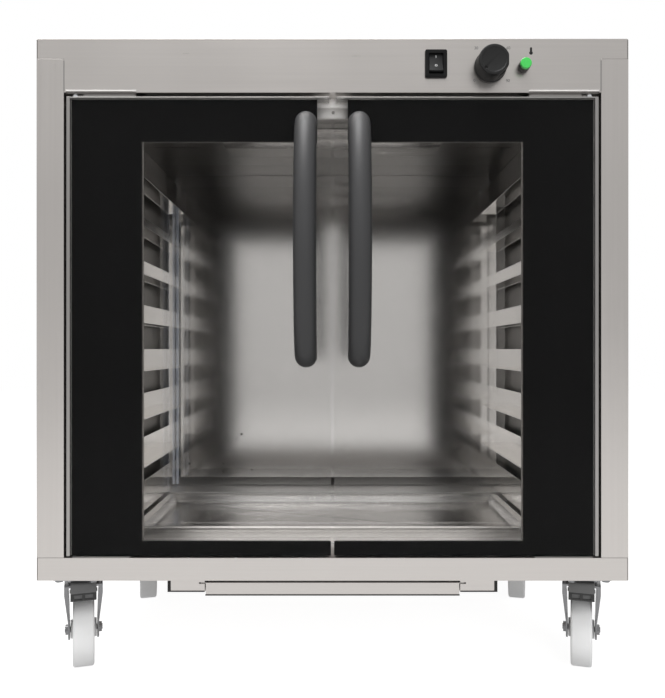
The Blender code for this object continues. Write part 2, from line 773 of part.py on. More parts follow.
def make_controls():
    """Rocker switch, thermostat with its knob, and the pilot lamp."""
    body_width_x = switch_width - 2 * switch_lip
    body_height_z = switch_height - 2 * switch_lip
    housing = box("switch_housing",
                  (switch_x - switch_width / 2, front_y - gap - switch_bezel, switch_z - switch_height / 2),
                  (switch_x + switch_width / 2, front_y - gap, switch_z + switch_height / 2), "black_plastic")
    shell = box("switch_shell",
                (switch_x - body_width_x / 2, front_y - gap - switch_bezel / 2, switch_z - body_height_z / 2),
                (switch_x + body_width_x / 2, front_y + switch_body_depth, switch_z + body_height_z / 2))
    well_half = body_width_x / 2 - switch_wall
    well_rise = body_height_z / 2 - switch_wall
    well = box("switch_well",
               (switch_x - well_half, front_y - gap - switch_bezel - overrun, switch_z - well_rise),
               (switch_x + well_half, front_y + rocker_pivot_depth + rocker_back + 2 * gap, switch_z + well_rise))
    cut(join(housing, shell), well)

    half = well_rise - rocker_end_gap
    outline = [(-rocker_thickness, half), (-rocker_thickness + rocker_dish, 0), (-rocker_thickness, -half),
               (0, -half), (rocker_back, 0), (0, half)]
    rocker_half = well_half - rocker_side_gap
    rocker = prism("switch_rocker", outline, "X", -rocker_half, rocker_half, "black_plastic")
    place = Vector((switch_x, front_y + rocker_pivot_depth, switch_z))
    rocker.rotation_mode = "QUATERNION"
    flat = Matrix.Rotation(-rocker_tilt, 4, "X") @ rocker.rotation_euler.to_matrix().to_4x4()
    rocker.rotation_quaternion = flat.to_quaternion()
    rocker.location = place
    carry(pivot("rocker_tilt", place), rocker)

    shaft_length = thermostat_shaft_length
    half = thermostat_size / 2
    thermostat = box("thermostat_body", (knob_x - half, front_y + sheet + gap, knob_z - half),
                     (knob_x + half, front_y + sheet + gap + thermostat_depth, knob_z + half - gap), "zinc")
    shaft = rod("thermostat_shaft", (knob_x, front_y + sheet + thermostat_depth / 2, knob_z),
                (knob_x, front_y - shaft_length, knob_z), thermostat_shaft_radius, 12)
    join(thermostat, shaft)

    bore = thermostat_shaft_radius + thermostat_shaft_clearance
    bore_end = shaft_length + gap
    profile = [(0, knob_length), (knob_face_radius - knob_round, knob_length),
               (knob_face_radius, knob_length - knob_round), (knob_face_radius, knob_skirt + gap),
               (knob_radius, knob_skirt), (knob_radius, gap), (bore, gap), (bore, bore_end), (0, bore_end)]
    knob = turned("thermostat_knob", profile, (knob_x, front_y, knob_z), "Y", 32, "black_plastic")
    centre = Vector((knob_x, front_y, knob_z))
    notch = box("knob_notch",
                (-knob_notch_width / 2, -knob_length - overrun, knob_face_radius - knob_notch_length),
                (knob_notch_width / 2, -knob_length + knob_notch_depth, knob_face_radius + overrun))
    turn = Matrix.Rotation(knob_rest_turn, 3, "Y")
    notch.location = centre + turn @ notch.location
    notch.rotation_euler = turn.to_euler()
    cut(knob, notch)
    carry(pivot("knob_turn", centre), knob)

    profile = [(0, lamp_length)]
    dome = arc((0, lamp_length - lamp_radius), lamp_radius, math.radians(90), 0, 6)
    profile += dome[1:]
    profile += [(lamp_radius, gap), (lamp_body_radius, gap), (lamp_body_radius, -lamp_body_depth),
                (0, -lamp_body_depth)]
    turned("pilot_lamp", profile, (lamp_x, front_y, knob_z), "Y", 20, "lamp_green")


def make_doors():
    for word, side in sides.items():
        pieces = [door_glass(word, side), door_print(word, side), door_frame(word, side), door_seal(word, side),
                  door_handle(word, side), top_hinge(word, side)]
        carry(pivot(word + "_door_hinge", (side * pivot_x, pivot_y, door_bottom)), *pieces)
        bottom_hinge(word, side)


def handle_feet(side):
    return [Vector((side * handle_x, front_y, height)) for height in (handle_top_z, handle_bottom_z)]


def stud_holes(word, side, last_y, radius=stud_radius + stud_clearance):
    holes = []
    for number, foot in enumerate(handle_feet(side), 1):
        end = Vector((foot.x, last_y + overrun, foot.z))
        holes.append(rod(f"{word}_stud_hole_{number}", foot - Vector((0, overrun, 0)), end, radius, 12))
    return holes


def door_glass(word, side):
    corner = glass_corner
    outer, inner = glass_outer, glass_inner
    outline = [(inner, door_bottom), (inner, glass_top)]
    outline += arc((outer - corner, glass_top - corner), corner, math.radians(90), 0, 4)
    outline += arc((outer - corner, door_bottom + corner), corner, 0, math.radians(-90), 4)
    glass = prism(word + "_door_glass", [(side * x, z) for x, z in outline], "Y", front_y,
                  front_y + glass_thickness, "glass")
    return cut(glass, *stud_holes(word, side, front_y + glass_thickness))


def door_print(word, side):
    """The opaque black border on the back of the glass, with a clear notch at the top middle."""
    outer, inner = glass_outer - gap, glass_inner
    window_top = glass_top - print_top
    window_bottom = door_bottom + print_bottom
    outline = [(outer, door_bottom), (inner, door_bottom), (inner, window_bottom),
               (window_half_width, window_bottom), (window_half_width, window_top),
               (notch_half_width, window_top), (notch_half_width, glass_top), (outer, glass_top)]
    border = prism(word + "_door_print", [(side * x, z) for x, z in outline], "Y", print_y,
                   print_y + print_thickness, "black_print")
    upper = handle_feet(side)[0]
    hole = rod(word + "_print_hole", upper - Vector((0, overrun, 0)), upper + Vector((0, 3 * overrun, 0)),
               washer_radius + gap, 16)
    return cut(border, hole)


def door_frame(word, side):
    """A frame on three sides of the glass; its lips show as bright lines round the door."""
    end = glass_inner + frame_end_gap
    outline = [(door_outer, door_bottom), (end, door_bottom), (end, door_bottom + frame_bottom_rail),
               (door_outer - frame_stile, door_bottom + frame_bottom_rail),
               (door_outer - frame_stile, door_top - frame_top_rail),
               (frame_rail_stop, door_top - frame_top_rail), (frame_rail_stop, door_top - frame_top_lip),
               (end, door_top - frame_top_lip), (end, door_top), (door_outer, door_top)]
    frame = prism(word + "_door_frame", [(side * x, z) for x, z in outline], "Y", front_y,
                  front_y + frame_depth, "stainless")
    low, high = span(side, -overrun, door_outer - frame_side_lip)
    pocket = box(word + "_glass_pocket", (low, front_y - overrun, door_bottom - overrun),
                 (high, web_y, door_top - frame_top_lip))
    bore = rod(word + "_pin_bore", (side * pivot_x, pivot_y, door_bottom - overrun),
               (side * pivot_x, pivot_y, door_bottom + pin_engagement + gap), pin_radius + pin_clearance)
    return cut(frame, pocket, bore)


def door_seal(word, side):
    """A soft strip on the back of the frame, which meets the front frame of the cavity."""
    outer = door_outer - seal_side_inset
    end = glass_inner + frame_end_gap + seal_inset
    stop = frame_rail_stop + seal_inset
    low, high = door_bottom + seal_inset, door_top - seal_inset
    outline = [(outer, low), (end, low), (end, low + seal_width), (outer - seal_width, low + seal_width),
               (outer - seal_width, high - seal_width), (stop, high - seal_width), (stop, high), (outer, high)]
    return prism(word + "_door_seal", [(side * x, z) for x, z in outline], "Y",
                 front_y + frame_depth + gap, frame_y - gap, "rubber")


def door_handle(word, side):
    """An arched bar: half an ellipse from foot to foot, held by studs and washers through the glass."""
    middle_z = (handle_top_z + handle_bottom_z) / 2
    reach = handle_reach - handle_radius - handle_foot
    start = front_y - gap
    x = side * handle_x
    path = [(x, start, handle_top_z)]
    for step in range(handle_steps + 1):
        angle = math.pi * step / handle_steps
        path.append((x, front_y - handle_foot - reach * math.sin(angle),
                     middle_z + handle_span / 2 * math.cos(angle)))
    path.append((x, start, handle_bottom_z))
    bar = pipe(word + "_door_handle", path, handle_radius, "grey_handle")
    back = print_y if handle_x < frame_rail_stop else web_y
    for number, foot in enumerate(handle_feet(side), 1):
        inner = Vector((foot.x, foot.y - handle_foot * 2, foot.z))
        washer_start = Vector((foot.x, back, foot.z))
        washer_end = washer_start + Vector((0, washer_thickness, 0))
        stud = rod(f"{word}_handle_stud_{number}", inner, washer_end - Vector((0, washer_thickness / 2, 0)),
                   stud_radius, 12)
        washer = rod(f"{word}_handle_washer_{number}", washer_start, washer_end, washer_radius, 16)
        join(bar, stud, washer)
    return bar


def top_hinge(word, side):
    """A leaf on the door's top edge, with a pin up into the fascia's fold."""
    low = door_top + gap
    high = low + leaf_thickness
    near, far = span(side, pivot_x - leaf_length, pivot_x)
    leaf = box(word + "_top_hinge", (near, pivot_y - knuckle_radius, low), (far, pivot_y + knuckle_radius, high),
               "zinc")
    knuckle = rod(word + "_hinge_knuckle", (side * pivot_x, pivot_y, low + gap / 3),
                  (side * pivot_x, pivot_y, high - gap / 3), knuckle_radius + gap / 3, 16)
    pin = rod(word + "_top_pin", (side * pivot_x, pivot_y, low + leaf_thickness / 2),
              (side * pivot_x, pivot_y, opening_top + sheet + 2 * pin_radius), pin_radius, 12)
    return join(leaf, knuckle, pin)


def bottom_hinge(word, side):
    """A flat bracket on the bottom rail, with a pin up into the door frame."""
    low = opening_bottom + gap
    high = low + bracket_thickness
    near, far = span(side, pivot_x - bracket_length, pivot_x + knuckle_radius)
    bracket = box(word + "_bottom_hinge", (near, pivot_y - bracket_width / 2, low),
                  (far, pivot_y + bracket_width / 2, high), "zinc")
    pin = rod(word + "_bottom_pin", (side * pivot_x, pivot_y, low + bracket_thickness / 2),
              (side * pivot_x, pivot_y, door_bottom + pin_engagement), pin_radius, 12)
    return join(bracket, pin)


def make_drip_tray():
    """A pull-out tray under the base, hung by its rims in two grooved rails."""
    start = front_y + drip_front
    top = base_z - drip_top_gap
    low = Vector((-drip_half_width, start, top - drip_height))
    high = Vector((drip_half_width, start + drip_length, top))
    tray = box("drip_tray", low, high, "stainless")
    wall = Vector((drip_wall, drip_wall, drip_wall))
    hollow = box("drip_hollow", low + wall, Vector((high.x - drip_wall, high.y - drip_wall, top + overrun)))
    rims = []
    for side in sides.values():
        near, far = span(side, drip_half_width - drip_wall / 2, drip_half_width + drip_rim)
        rims.append(((near, start + drip_wall, top - drip_wall), (far, high.y - drip_wall, top - gap)))
    cut(join(tray, boxes("drip_rims", rims)), hollow)
    carry(pivot("drip_slide", (0, start, top)), tray)

    for word, side in sides.items():
        inner = drip_half_width + 4 * gap
        outer = inner + drip_rail_width
        rail_top = base_z - gap
        rail_low = rail_top - drip_rail_height
        groove_middle = top - drip_wall / 2
        outline = [(inner, rail_low), (outer, rail_low), (outer, rail_top), (inner, rail_top),
                   (inner, groove_middle + groove_height / 2),
                   (inner + groove_depth, groove_middle + groove_height / 2),
                   (inner + groove_depth, groove_middle - groove_height / 2),
                   (inner, groove_middle - groove_height / 2)]
        rail = prism(word + "_drip_rail", [(side * x, z) for x, z in outline], "Y", start,
                     start + drip_rail_length, "stainless")
        near, far = span(side, inner + groove_depth + 2 * sheet, outer - sheet)
        core = box(word + "_rail_core", (near, start + sheet, rail_low + sheet),
                   (far, start + drip_rail_length + overrun, rail_top - sheet))
        cut(rail, core)


def make_casters():
    for word, side in sides.items():
        low, high = span(side, caster_x - caster_rail_width / 2, caster_x + caster_rail_width / 2)
        start = front_y + caster_rail_front
        rail_low = base_z - gap - caster_rail_height
        outline = [(low, rail_low), (high, rail_low), (high, base_z - gap), (high - sheet, base_z - gap),
                   (high - sheet, rail_low + sheet), (low + sheet, rail_low + sheet), (low + sheet, base_z - gap),
                   (low, base_z - gap)]
        prism(word + "_caster_rail", outline, "Y", start, start + caster_rail_length, "stainless")
        make_caster("front_" + word, side * caster_x, front_y + front_caster_depth, 1, front_rest_turn, True)
        make_caster("rear_" + word, side * caster_x, front_y + rear_caster_depth, -1, rear_rest_turn, False)


def make_caster(name, x, y, trail, rest_turn, braked):
    """A swivel caster: plate with its race, and the fork, axle bolt and wheel turned a little out of line."""
    plate = box(name + "_caster_plate", (x - plate_width / 2, y - plate_length / 2, plate_top - plate_thickness),
                (x + plate_width / 2, y + plate_length / 2, plate_top), "zinc")
    race = rod(name + "_race", (x, y, crown_top + gap), (x, y, plate_top - plate_thickness / 2), crown_radius, 24)
    join(plate, race)

    fork = rod(name + "_caster_fork", (x, y, crown_bottom), (x, y, crown_top), crown_radius, 24, "zinc")
    crown_half = leg_inner + leg_thickness
    crown = box(name + "_crown", (x - crown_half, y - crown_radius + edge_radius, crown_bottom - gap),
                (x + crown_half, y + crown_radius - edge_radius, crown_top - gap))
    join(fork, crown)
    axle_y = y + trail * caster_trail
    for word, side in sides.items():
        half = crown_radius - 2 * edge_radius
        curve = arc((axle_y, axle_z), leg_end_radius, math.radians(-150), math.radians(-30), 6)
        outline = [(y - half, crown_bottom + crown_thickness / 2)] + curve
        outline += [(y + half, crown_bottom + crown_thickness / 2)]
        near, far = span(side, leg_inner, leg_inner + leg_thickness)
        leg = prism(f"{name}_{word}_leg", outline, "X", x + near, x + far)
        nut = rod(f"{name}_{word}_nut", (x + side * (leg_inner + leg_thickness / 2), axle_y, axle_z),
                  (x + side * (leg_inner + leg_thickness + bolt_height), axle_y, axle_z), bolt_radius, 6)
        join(fork, leg, nut)
    axle = rod(name + "_axle", (x - crown_half, axle_y, axle_z), (x + crown_half, axle_y, axle_z), axle_radius, 12)
    join(fork, axle)

    bore = axle_radius + axle_clearance
    hub = leg_inner - wheel_hub_gap
    half = wheel_width / 2
    web = wheel_web / 2
    inner = wheel_radius - wheel_tread
    profile = [(bore, hub), (wheel_hub_radius, hub), (wheel_hub_radius, web), (inner, web), (inner, half),
               (wheel_radius - wheel_round, half), (wheel_radius, half - wheel_round)]
    profile += [(radius, -height) for radius, height in reversed(profile)]
    wheel = turned(name + "_caster_wheel", profile, (x, axle_y, axle_z), "X", wheel_sides, "wheel_grey", ring=True)
    swing = math.pi / wheel_sides
    wheel.rotation_euler = (Matrix.Rotation(swing, 3, "X") @ Matrix.Rotation(math.pi / 2, 3, "Y")).to_euler()

    swivel = pivot(name + "_swivel", (x, y, crown_top))
    axle_line = pivot(name + "_axle_line", (x, axle_y, axle_z))
    carry(axle_line, wheel)
    carry(swivel, fork, axle_line)
    if braked:
        carry(swivel, make_pedal(name, x, y))
    swivel.rotation_euler.z = math.copysign(rest_turn, -x)


def make_pedal(name, x, y):
    """The brake pedal in front of the fork, on a pin between its legs."""
    front = y - pedal_front
    low = crown_bottom - pedal_drop
    pedal = box(name + "_brake_pedal", (x - pedal_half_width, front, low),
                (x + pedal_half_width, front + pedal_thickness, low + pedal_height), "black_plastic")
    pin_y = y - pedal_pivot_front
    pin_z = crown_bottom - pedal_pivot_drop
    arm_half = pedal_half_width / 2
    arm = box(name + "_pedal_arm", (x - arm_half, front + pedal_thickness / 2, pin_z - pedal_arm_height / 2),
              (x + arm_half, pin_y, pin_z + pedal_arm_height / 2))
    pin_half = leg_inner - gap
    pin = rod(name + "_pedal_pin", (x - pin_half, pin_y, pin_z), (x + pin_half, pin_y, pin_z), pedal_pin_radius, 12)
    slots = []
    for side in sides.values():
        near, far = span(side, pedal_slot_depth / 2, pedal_slot_depth / 2 + pedal_slot)
        slots.append(((x + near, front - overrun, low + pedal_slot_depth),
                      (x + far, front + pedal_slot_depth, low + pedal_slot)))
    return cut(join(pedal, arm, pin), boxes(name + "_pedal_slots", slots))


make_casing()
make_cavity()
make_baffle()
make_racks()
make_basin()
make_fan()
make_controls()
make_doors()
make_drip_tray()
make_casters()
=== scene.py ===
import json
import math

import bmesh
import bpy
from mathutils import Matrix, Vector


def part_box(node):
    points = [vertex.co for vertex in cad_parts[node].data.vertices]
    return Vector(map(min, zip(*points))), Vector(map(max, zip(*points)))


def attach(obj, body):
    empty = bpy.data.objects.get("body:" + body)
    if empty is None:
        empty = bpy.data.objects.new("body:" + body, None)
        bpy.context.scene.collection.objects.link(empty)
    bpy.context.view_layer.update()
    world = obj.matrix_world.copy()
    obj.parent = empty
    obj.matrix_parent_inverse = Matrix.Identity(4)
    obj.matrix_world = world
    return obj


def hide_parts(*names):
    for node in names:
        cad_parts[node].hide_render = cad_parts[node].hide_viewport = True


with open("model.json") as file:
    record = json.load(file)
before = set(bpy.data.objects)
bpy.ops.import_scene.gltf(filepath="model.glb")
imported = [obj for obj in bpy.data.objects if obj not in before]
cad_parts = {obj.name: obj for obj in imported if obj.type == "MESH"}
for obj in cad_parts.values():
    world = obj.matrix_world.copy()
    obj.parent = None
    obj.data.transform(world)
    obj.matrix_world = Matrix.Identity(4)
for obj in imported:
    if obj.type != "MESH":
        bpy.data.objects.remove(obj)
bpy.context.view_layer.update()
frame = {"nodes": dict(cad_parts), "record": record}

nodes = frame["nodes"]
sides = {"left": -1, "right": 1}
print("frame loaded:", len(nodes), "solids")


# Edit-mode helpers: everything is deselected first, then faces or edges are picked by place

facing = {"X": (0, math.pi / 2, 0), "-Y": (math.pi / 2, 0, 0), "Y": (-math.pi / 2, 0, 0), "Z": (0, 0, 0)}
mergeDistance = 0.00001
flatAngle = math.radians(0.5)        # faces that differ by less become one


def addPiece(name, addPrimitive, **settings):
    bpy.ops.object.select_all(action="DESELECT")
    addPrimitive(**settings)
    piece = bpy.context.object
    piece.name = piece.data.name = name
    bpy.ops.object.transform_apply(location=True, rotation=True, scale=True)
    return piece


def addBlock(name, low, high):
    low, high = Vector(low), Vector(high)
    return addPiece(name, bpy.ops.mesh.primitive_cube_add, size=1, location=(low + high) / 2,
                    scale=high - low)


def addRound(name, centre, radius, depth, along, count=32):
    # a capped cylinder whose far end looks the way that "along" says
    return addPiece(name, bpy.ops.mesh.primitive_cylinder_add, vertices=count, radius=radius, depth=depth,
                    location=centre, rotation=facing[along])


def activate(piece):
    bpy.ops.object.select_all(action="DESELECT")
    piece.select_set(True)
    bpy.context.view_layer.objects.active = piece


def pick(piece, mode, test):
    # goes to edit mode with only the wanted faces or edges selected
    activate(piece)
    bpy.ops.object.mode_set(mode="EDIT")
    bpy.ops.mesh.select_mode(type=mode)
    bpy.ops.mesh.select_all(action="DESELECT")
    form = bmesh.from_edit_mesh(piece.data)
    form.normal_update()
    for item in form.faces if mode == "FACE" else form.edges:
        if mode == "FACE":
            wanted = test(item.calc_center_median(), item.normal)
        else:
            start, end = item.verts
            wanted = test((start.co + end.co) / 2, (end.co - start.co).normalized())
        if wanted:
            item.select_set(True)
    form.select_flush_mode()
    bmesh.update_edit_mesh(piece.data)


def near(value, target, reach=0.0001):
    return abs(value - target) < reach


def runsAlong(axis):
    # picks the edges that run along one axis
    return lambda place, along: abs(getattr(along, axis)) > 0.9


def leave():
    bpy.ops.object.mode_set(mode="OBJECT")


def insetFaces(piece, test, width, depth=0.0):
    pick(piece, "FACE", test)
    bpy.ops.mesh.inset(thickness=width, depth=depth)
    leave()


def pushFaces(piece, test, move, scale, centre):
    # extrudes the picked faces along a vector, then scales the new ring
    pick(piece, "FACE", test)
    bpy.ops.mesh.extrude_region_move(TRANSFORM_OT_translate={"value": move})
    bpy.ops.transform.resize(value=scale, center_override=centre)
    leave()


def bevelEdges(piece, test, width, segments=2):
    pick(piece, "EDGE", test)
    bpy.ops.mesh.bevel(offset=width, segments=segments, affect="EDGES", clamp_overlap=True)
    leave()


def applyModifier(piece, kind, **settings):
    activate(piece)
    bpy.ops.object.modifier_add(type=kind)
    modifier = piece.modifiers[-1]
    for key, value in settings.items():
        setattr(modifier, key, value)
    bpy.ops.object.modifier_apply(modifier=modifier.name)
    return piece


def roundEdges(piece, width, segments=2, angle=40):
    return applyModifier(piece, "BEVEL", width=width, segments=segments, limit_method="ANGLE",
                         angle_limit=math.radians(angle), harden_normals=False)


def combine(piece, tool, operation="UNION"):
    applyModifier(piece, "BOOLEAN", object=tool, operation=operation, solver="EXACT")
    bpy.data.objects.remove(tool)
    return piece


def joinPieces(name, pieces):
    activate(pieces[0])
    for piece in pieces:
        piece.select_set(True)
    bpy.ops.object.join()
    bpy.context.object.name = bpy.context.object.data.name = name
    return bpy.context.object


def copyPiece(piece, name, move=None, mirror=False):
    # a copy with its own mesh, moved or mirrored across the middle
    copy = bpy.data.objects.new(name, piece.data.copy())
    bpy.context.collection.objects.link(copy)
    copy.data.name = name
    if mirror:
        copy.data.transform(Matrix.Scale(-1, 4, (1, 0, 0)))
        copy.data.flip_normals()
    if move:
        copy.data.transform(move)
    return copy


def mergeMesh(piece, whole=False, outwards=False):
    # merges double points, then makes flat faces whole or turns all faces outwards
    activate(piece)
    bpy.ops.object.mode_set(mode="EDIT")
    bpy.ops.mesh.select_all(action="SELECT")
    bpy.ops.mesh.remove_doubles(threshold=mergeDistance)
    if whole:
        bpy.ops.mesh.dissolve_limited(angle_limit=flatAngle)
    if outwards:
        bpy.ops.mesh.normals_make_consistent(inside=False)
    leave()
    return piece


def cleanCopy(nodeName, name, whole=True):
    # a solid's mesh is loose triangles, so its copy is merged
    copy = copyPiece(nodes[nodeName], name)
    copy.data.materials.clear()
    return mergeMesh(copy, whole=whole)


def finishPiece(piece, body, material, slot, *replaced, smooth=35):
    activate(piece)
    bpy.ops.object.shade_smooth_by_angle(angle=math.radians(smooth))
    piece.data.materials.clear()
    piece.data.materials.append(material)
    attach(piece, body)
    if replaced:
        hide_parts(*replaced)
    return piece


# Camera

cameraView = {"place": (0, -1.29275, 0.457), "lens": 38.94, "sensor": 36}
cameraData = bpy.data.cameras.new("camera")
cameraData.lens = cameraView["lens"]
cameraData.sensor_width = cameraView["sensor"]
camera = bpy.data.objects.new("camera", cameraData)
camera.location = cameraView["place"]
camera.rotation_euler = (math.pi / 2, 0, 0)
bpy.context.scene.collection.objects.link(camera)
bpy.context.scene.camera = camera
bpy.context.scene.view_settings.view_transform = "Standard"


# Materials

def newMaterial(name):
    material = bpy.data.materials.new(name)
    material.use_nodes = True
    tree = material.node_tree
    return material, tree, tree.nodes["Principled BSDF"]


def addNode(tree, kind, **settings):
    node = tree.nodes.new(kind)
    for key, value in settings.items():
        setattr(node, key, value)
    return node


def setInput(node, **values):
    for key, value in values.items():
        node.inputs[key.replace("_", " ")].default_value = value


def feed(tree, socket, value):
    # sets a socket to a number, or links another node's output to it
    if isinstance(value, float):
        socket.default_value = value
    else:
        tree.links.new(value, socket)


def mathNode(tree, operation, *values, clamp=False):
    node = addNode(tree, "ShaderNodeMath", operation=operation, use_clamp=clamp)
    for socket, value in zip(node.inputs, values):
        feed(tree, socket, value)
    return node.outputs[0]


def noiseNode(tree, vector, **values):
    noise = addNode(tree, "ShaderNodeTexNoise")
    setInput(noise, **values)
    tree.links.new(vector, noise.inputs["Vector"])
    return noise


def makeGroup(name, inputs, outputs):
    group = bpy.data.node_groups.new(name, "ShaderNodeTree")
    for socket, kind, value in inputs:
        new = group.interface.new_socket(name=socket, in_out="INPUT", socket_type=kind)
        new.default_value = value
    for socket, kind in outputs:
        group.interface.new_socket(name=socket, in_out="OUTPUT", socket_type=kind)
    into, out = group.nodes.new("NodeGroupInput"), group.nodes.new("NodeGroupOutput")
    return group, into, out, addNode(group, "ShaderNodeTexCoord").outputs["Object"]


def brushedGrainGroup():
    # fine lines along one axis, and wide soft clouds from rolling and wiping
    group, into, out, place = makeGroup("brushedGrain", [("Stretch", "NodeSocketVector", (1, 1, 1)),
                                                         ("Depth", "NodeSocketFloat", 0.1),
                                                         ("Cloud", "NodeSocketFloat", 0.05),
                                                         ("Relief", "NodeSocketFloat", 0.12)],
                                        [("Tint", "NodeSocketFloat"), ("Rough", "NodeSocketFloat"),
                                         ("Normal", "NodeSocketVector")])
    links = group.links
    stretch = addNode(group, "ShaderNodeVectorMath", operation="MULTIPLY")
    links.new(place, stretch.inputs[0])
    links.new(into.outputs["Stretch"], stretch.inputs[1])
    lines = noiseNode(group, stretch.outputs[0], Scale=1.0, Detail=4.0, Roughness=0.65)
    clouds = noiseNode(group, place, Scale=7.0, Detail=3.0, Roughness=0.55)
    shades = [mathNode(group, "MULTIPLY", mathNode(group, "SUBTRACT", noise.outputs["Fac"], 0.5),
                       into.outputs[amount]) for noise, amount in ((clouds, "Cloud"), (lines, "Depth"))]
    both = mathNode(group, "ADD", *shades)
    links.new(mathNode(group, "ADD", both, 1.0), out.inputs["Tint"])
    links.new(both, out.inputs["Rough"])
    bump = addNode(group, "ShaderNodeBump")
    setInput(bump, Distance=0.00005)
    links.new(into.outputs["Relief"], bump.inputs["Strength"])
    links.new(lines.outputs["Fac"], bump.inputs["Height"])
    links.new(bump.outputs["Normal"], out.inputs["Normal"])
    return group


def speckleGroup():
    # moulded plastic: fine pebble and slight shade changes
    group, into, out, place = makeGroup("mouldedSpeckle", [("Scale", "NodeSocketFloat", 900.0),
                                                           ("Amount", "NodeSocketFloat", 0.1)],
                                        [("Tint", "NodeSocketFloat"), ("Normal", "NodeSocketVector")])
    links = group.links
    grain = noiseNode(group, place, Detail=3.0, Roughness=0.6)
    links.new(into.outputs["Scale"], grain.inputs["Scale"])
    centred = mathNode(group, "SUBTRACT", grain.outputs["Fac"], 0.5)
    links.new(mathNode(group, "MULTIPLY_ADD", centred, into.outputs["Amount"], 1.0), out.inputs["Tint"])
    bump = addNode(group, "ShaderNodeBump")
    setInput(bump, Strength=0.25, Distance=0.0001)
    links.new(grain.outputs["Fac"], bump.inputs["Height"])
    links.new(bump.outputs["Normal"], out.inputs["Normal"])
    return group


brushedGrain = brushedGrainGroup()
mouldedSpeckle = speckleGroup()


def tintColour(tree, shader, tint, colour):
    mix = addNode(tree, "ShaderNodeVectorMath", operation="SCALE")
    mix.inputs[0].default_value = colour
    tree.links.new(tint, mix.inputs["Scale"])
    tree.links.new(mix.outputs[0], shader.inputs["Base Color"])


def steel(name, colour, roughness, stretch, depth=0.10, cloud=0.06, relief=0.12, metallic=1.0):
    material, tree, shader = newMaterial(name)
    grain = addNode(tree, "ShaderNodeGroup")
    grain.node_tree = brushedGrain
    setInput(grain, Stretch=stretch, Depth=depth, Cloud=cloud, Relief=relief)
    tintColour(tree, shader, grain.outputs["Tint"], colour)
    rough = mathNode(tree, "ADD", grain.outputs["Rough"], roughness, clamp=True)
    tree.links.new(rough, shader.inputs["Roughness"])
    tree.links.new(grain.outputs["Normal"], shader.inputs["Normal"])
    setInput(shader, Metallic=metallic)
    return material


def plastic(name, colour, roughness, scale=900.0, amount=0.1, specular=0.5):
    material, tree, shader = newMaterial(name)
    speckle = addNode(tree, "ShaderNodeGroup")
    speckle.node_tree = mouldedSpeckle
    setInput(speckle, Scale=scale, Amount=amount)
    tintColour(tree, shader, speckle.outputs["Tint"], colour)
    tree.links.new(speckle.outputs["Normal"], shader.inputs["Normal"])
    setInput(shader, Roughness=roughness, Specular_IOR_Level=specular)
    return material


def clearGlass(name):
    material, tree, shader = newMaterial(name)
    place = addNode(tree, "ShaderNodeTexCoord")
    smears = noiseNode(tree, place.outputs["Object"], Scale=6.0, Detail=4.0)
    spread = addNode(tree, "ShaderNodeMapRange")
    tree.links.new(smears.outputs["Fac"], spread.inputs["Value"])
    setInput(spread, To_Min=0.0, To_Max=0.02)
    tree.links.new(spread.outputs["Result"], shader.inputs["Roughness"])
    setInput(shader, Base_Color=(0.96, 0.945, 0.925, 1), IOR=1.2, Transmission_Weight=1.0, Alpha=0.22)
    return material


alongX, alongY, alongZ = (3, 300, 300), (300, 3, 300), (300, 300, 3)      # which way the grain runs

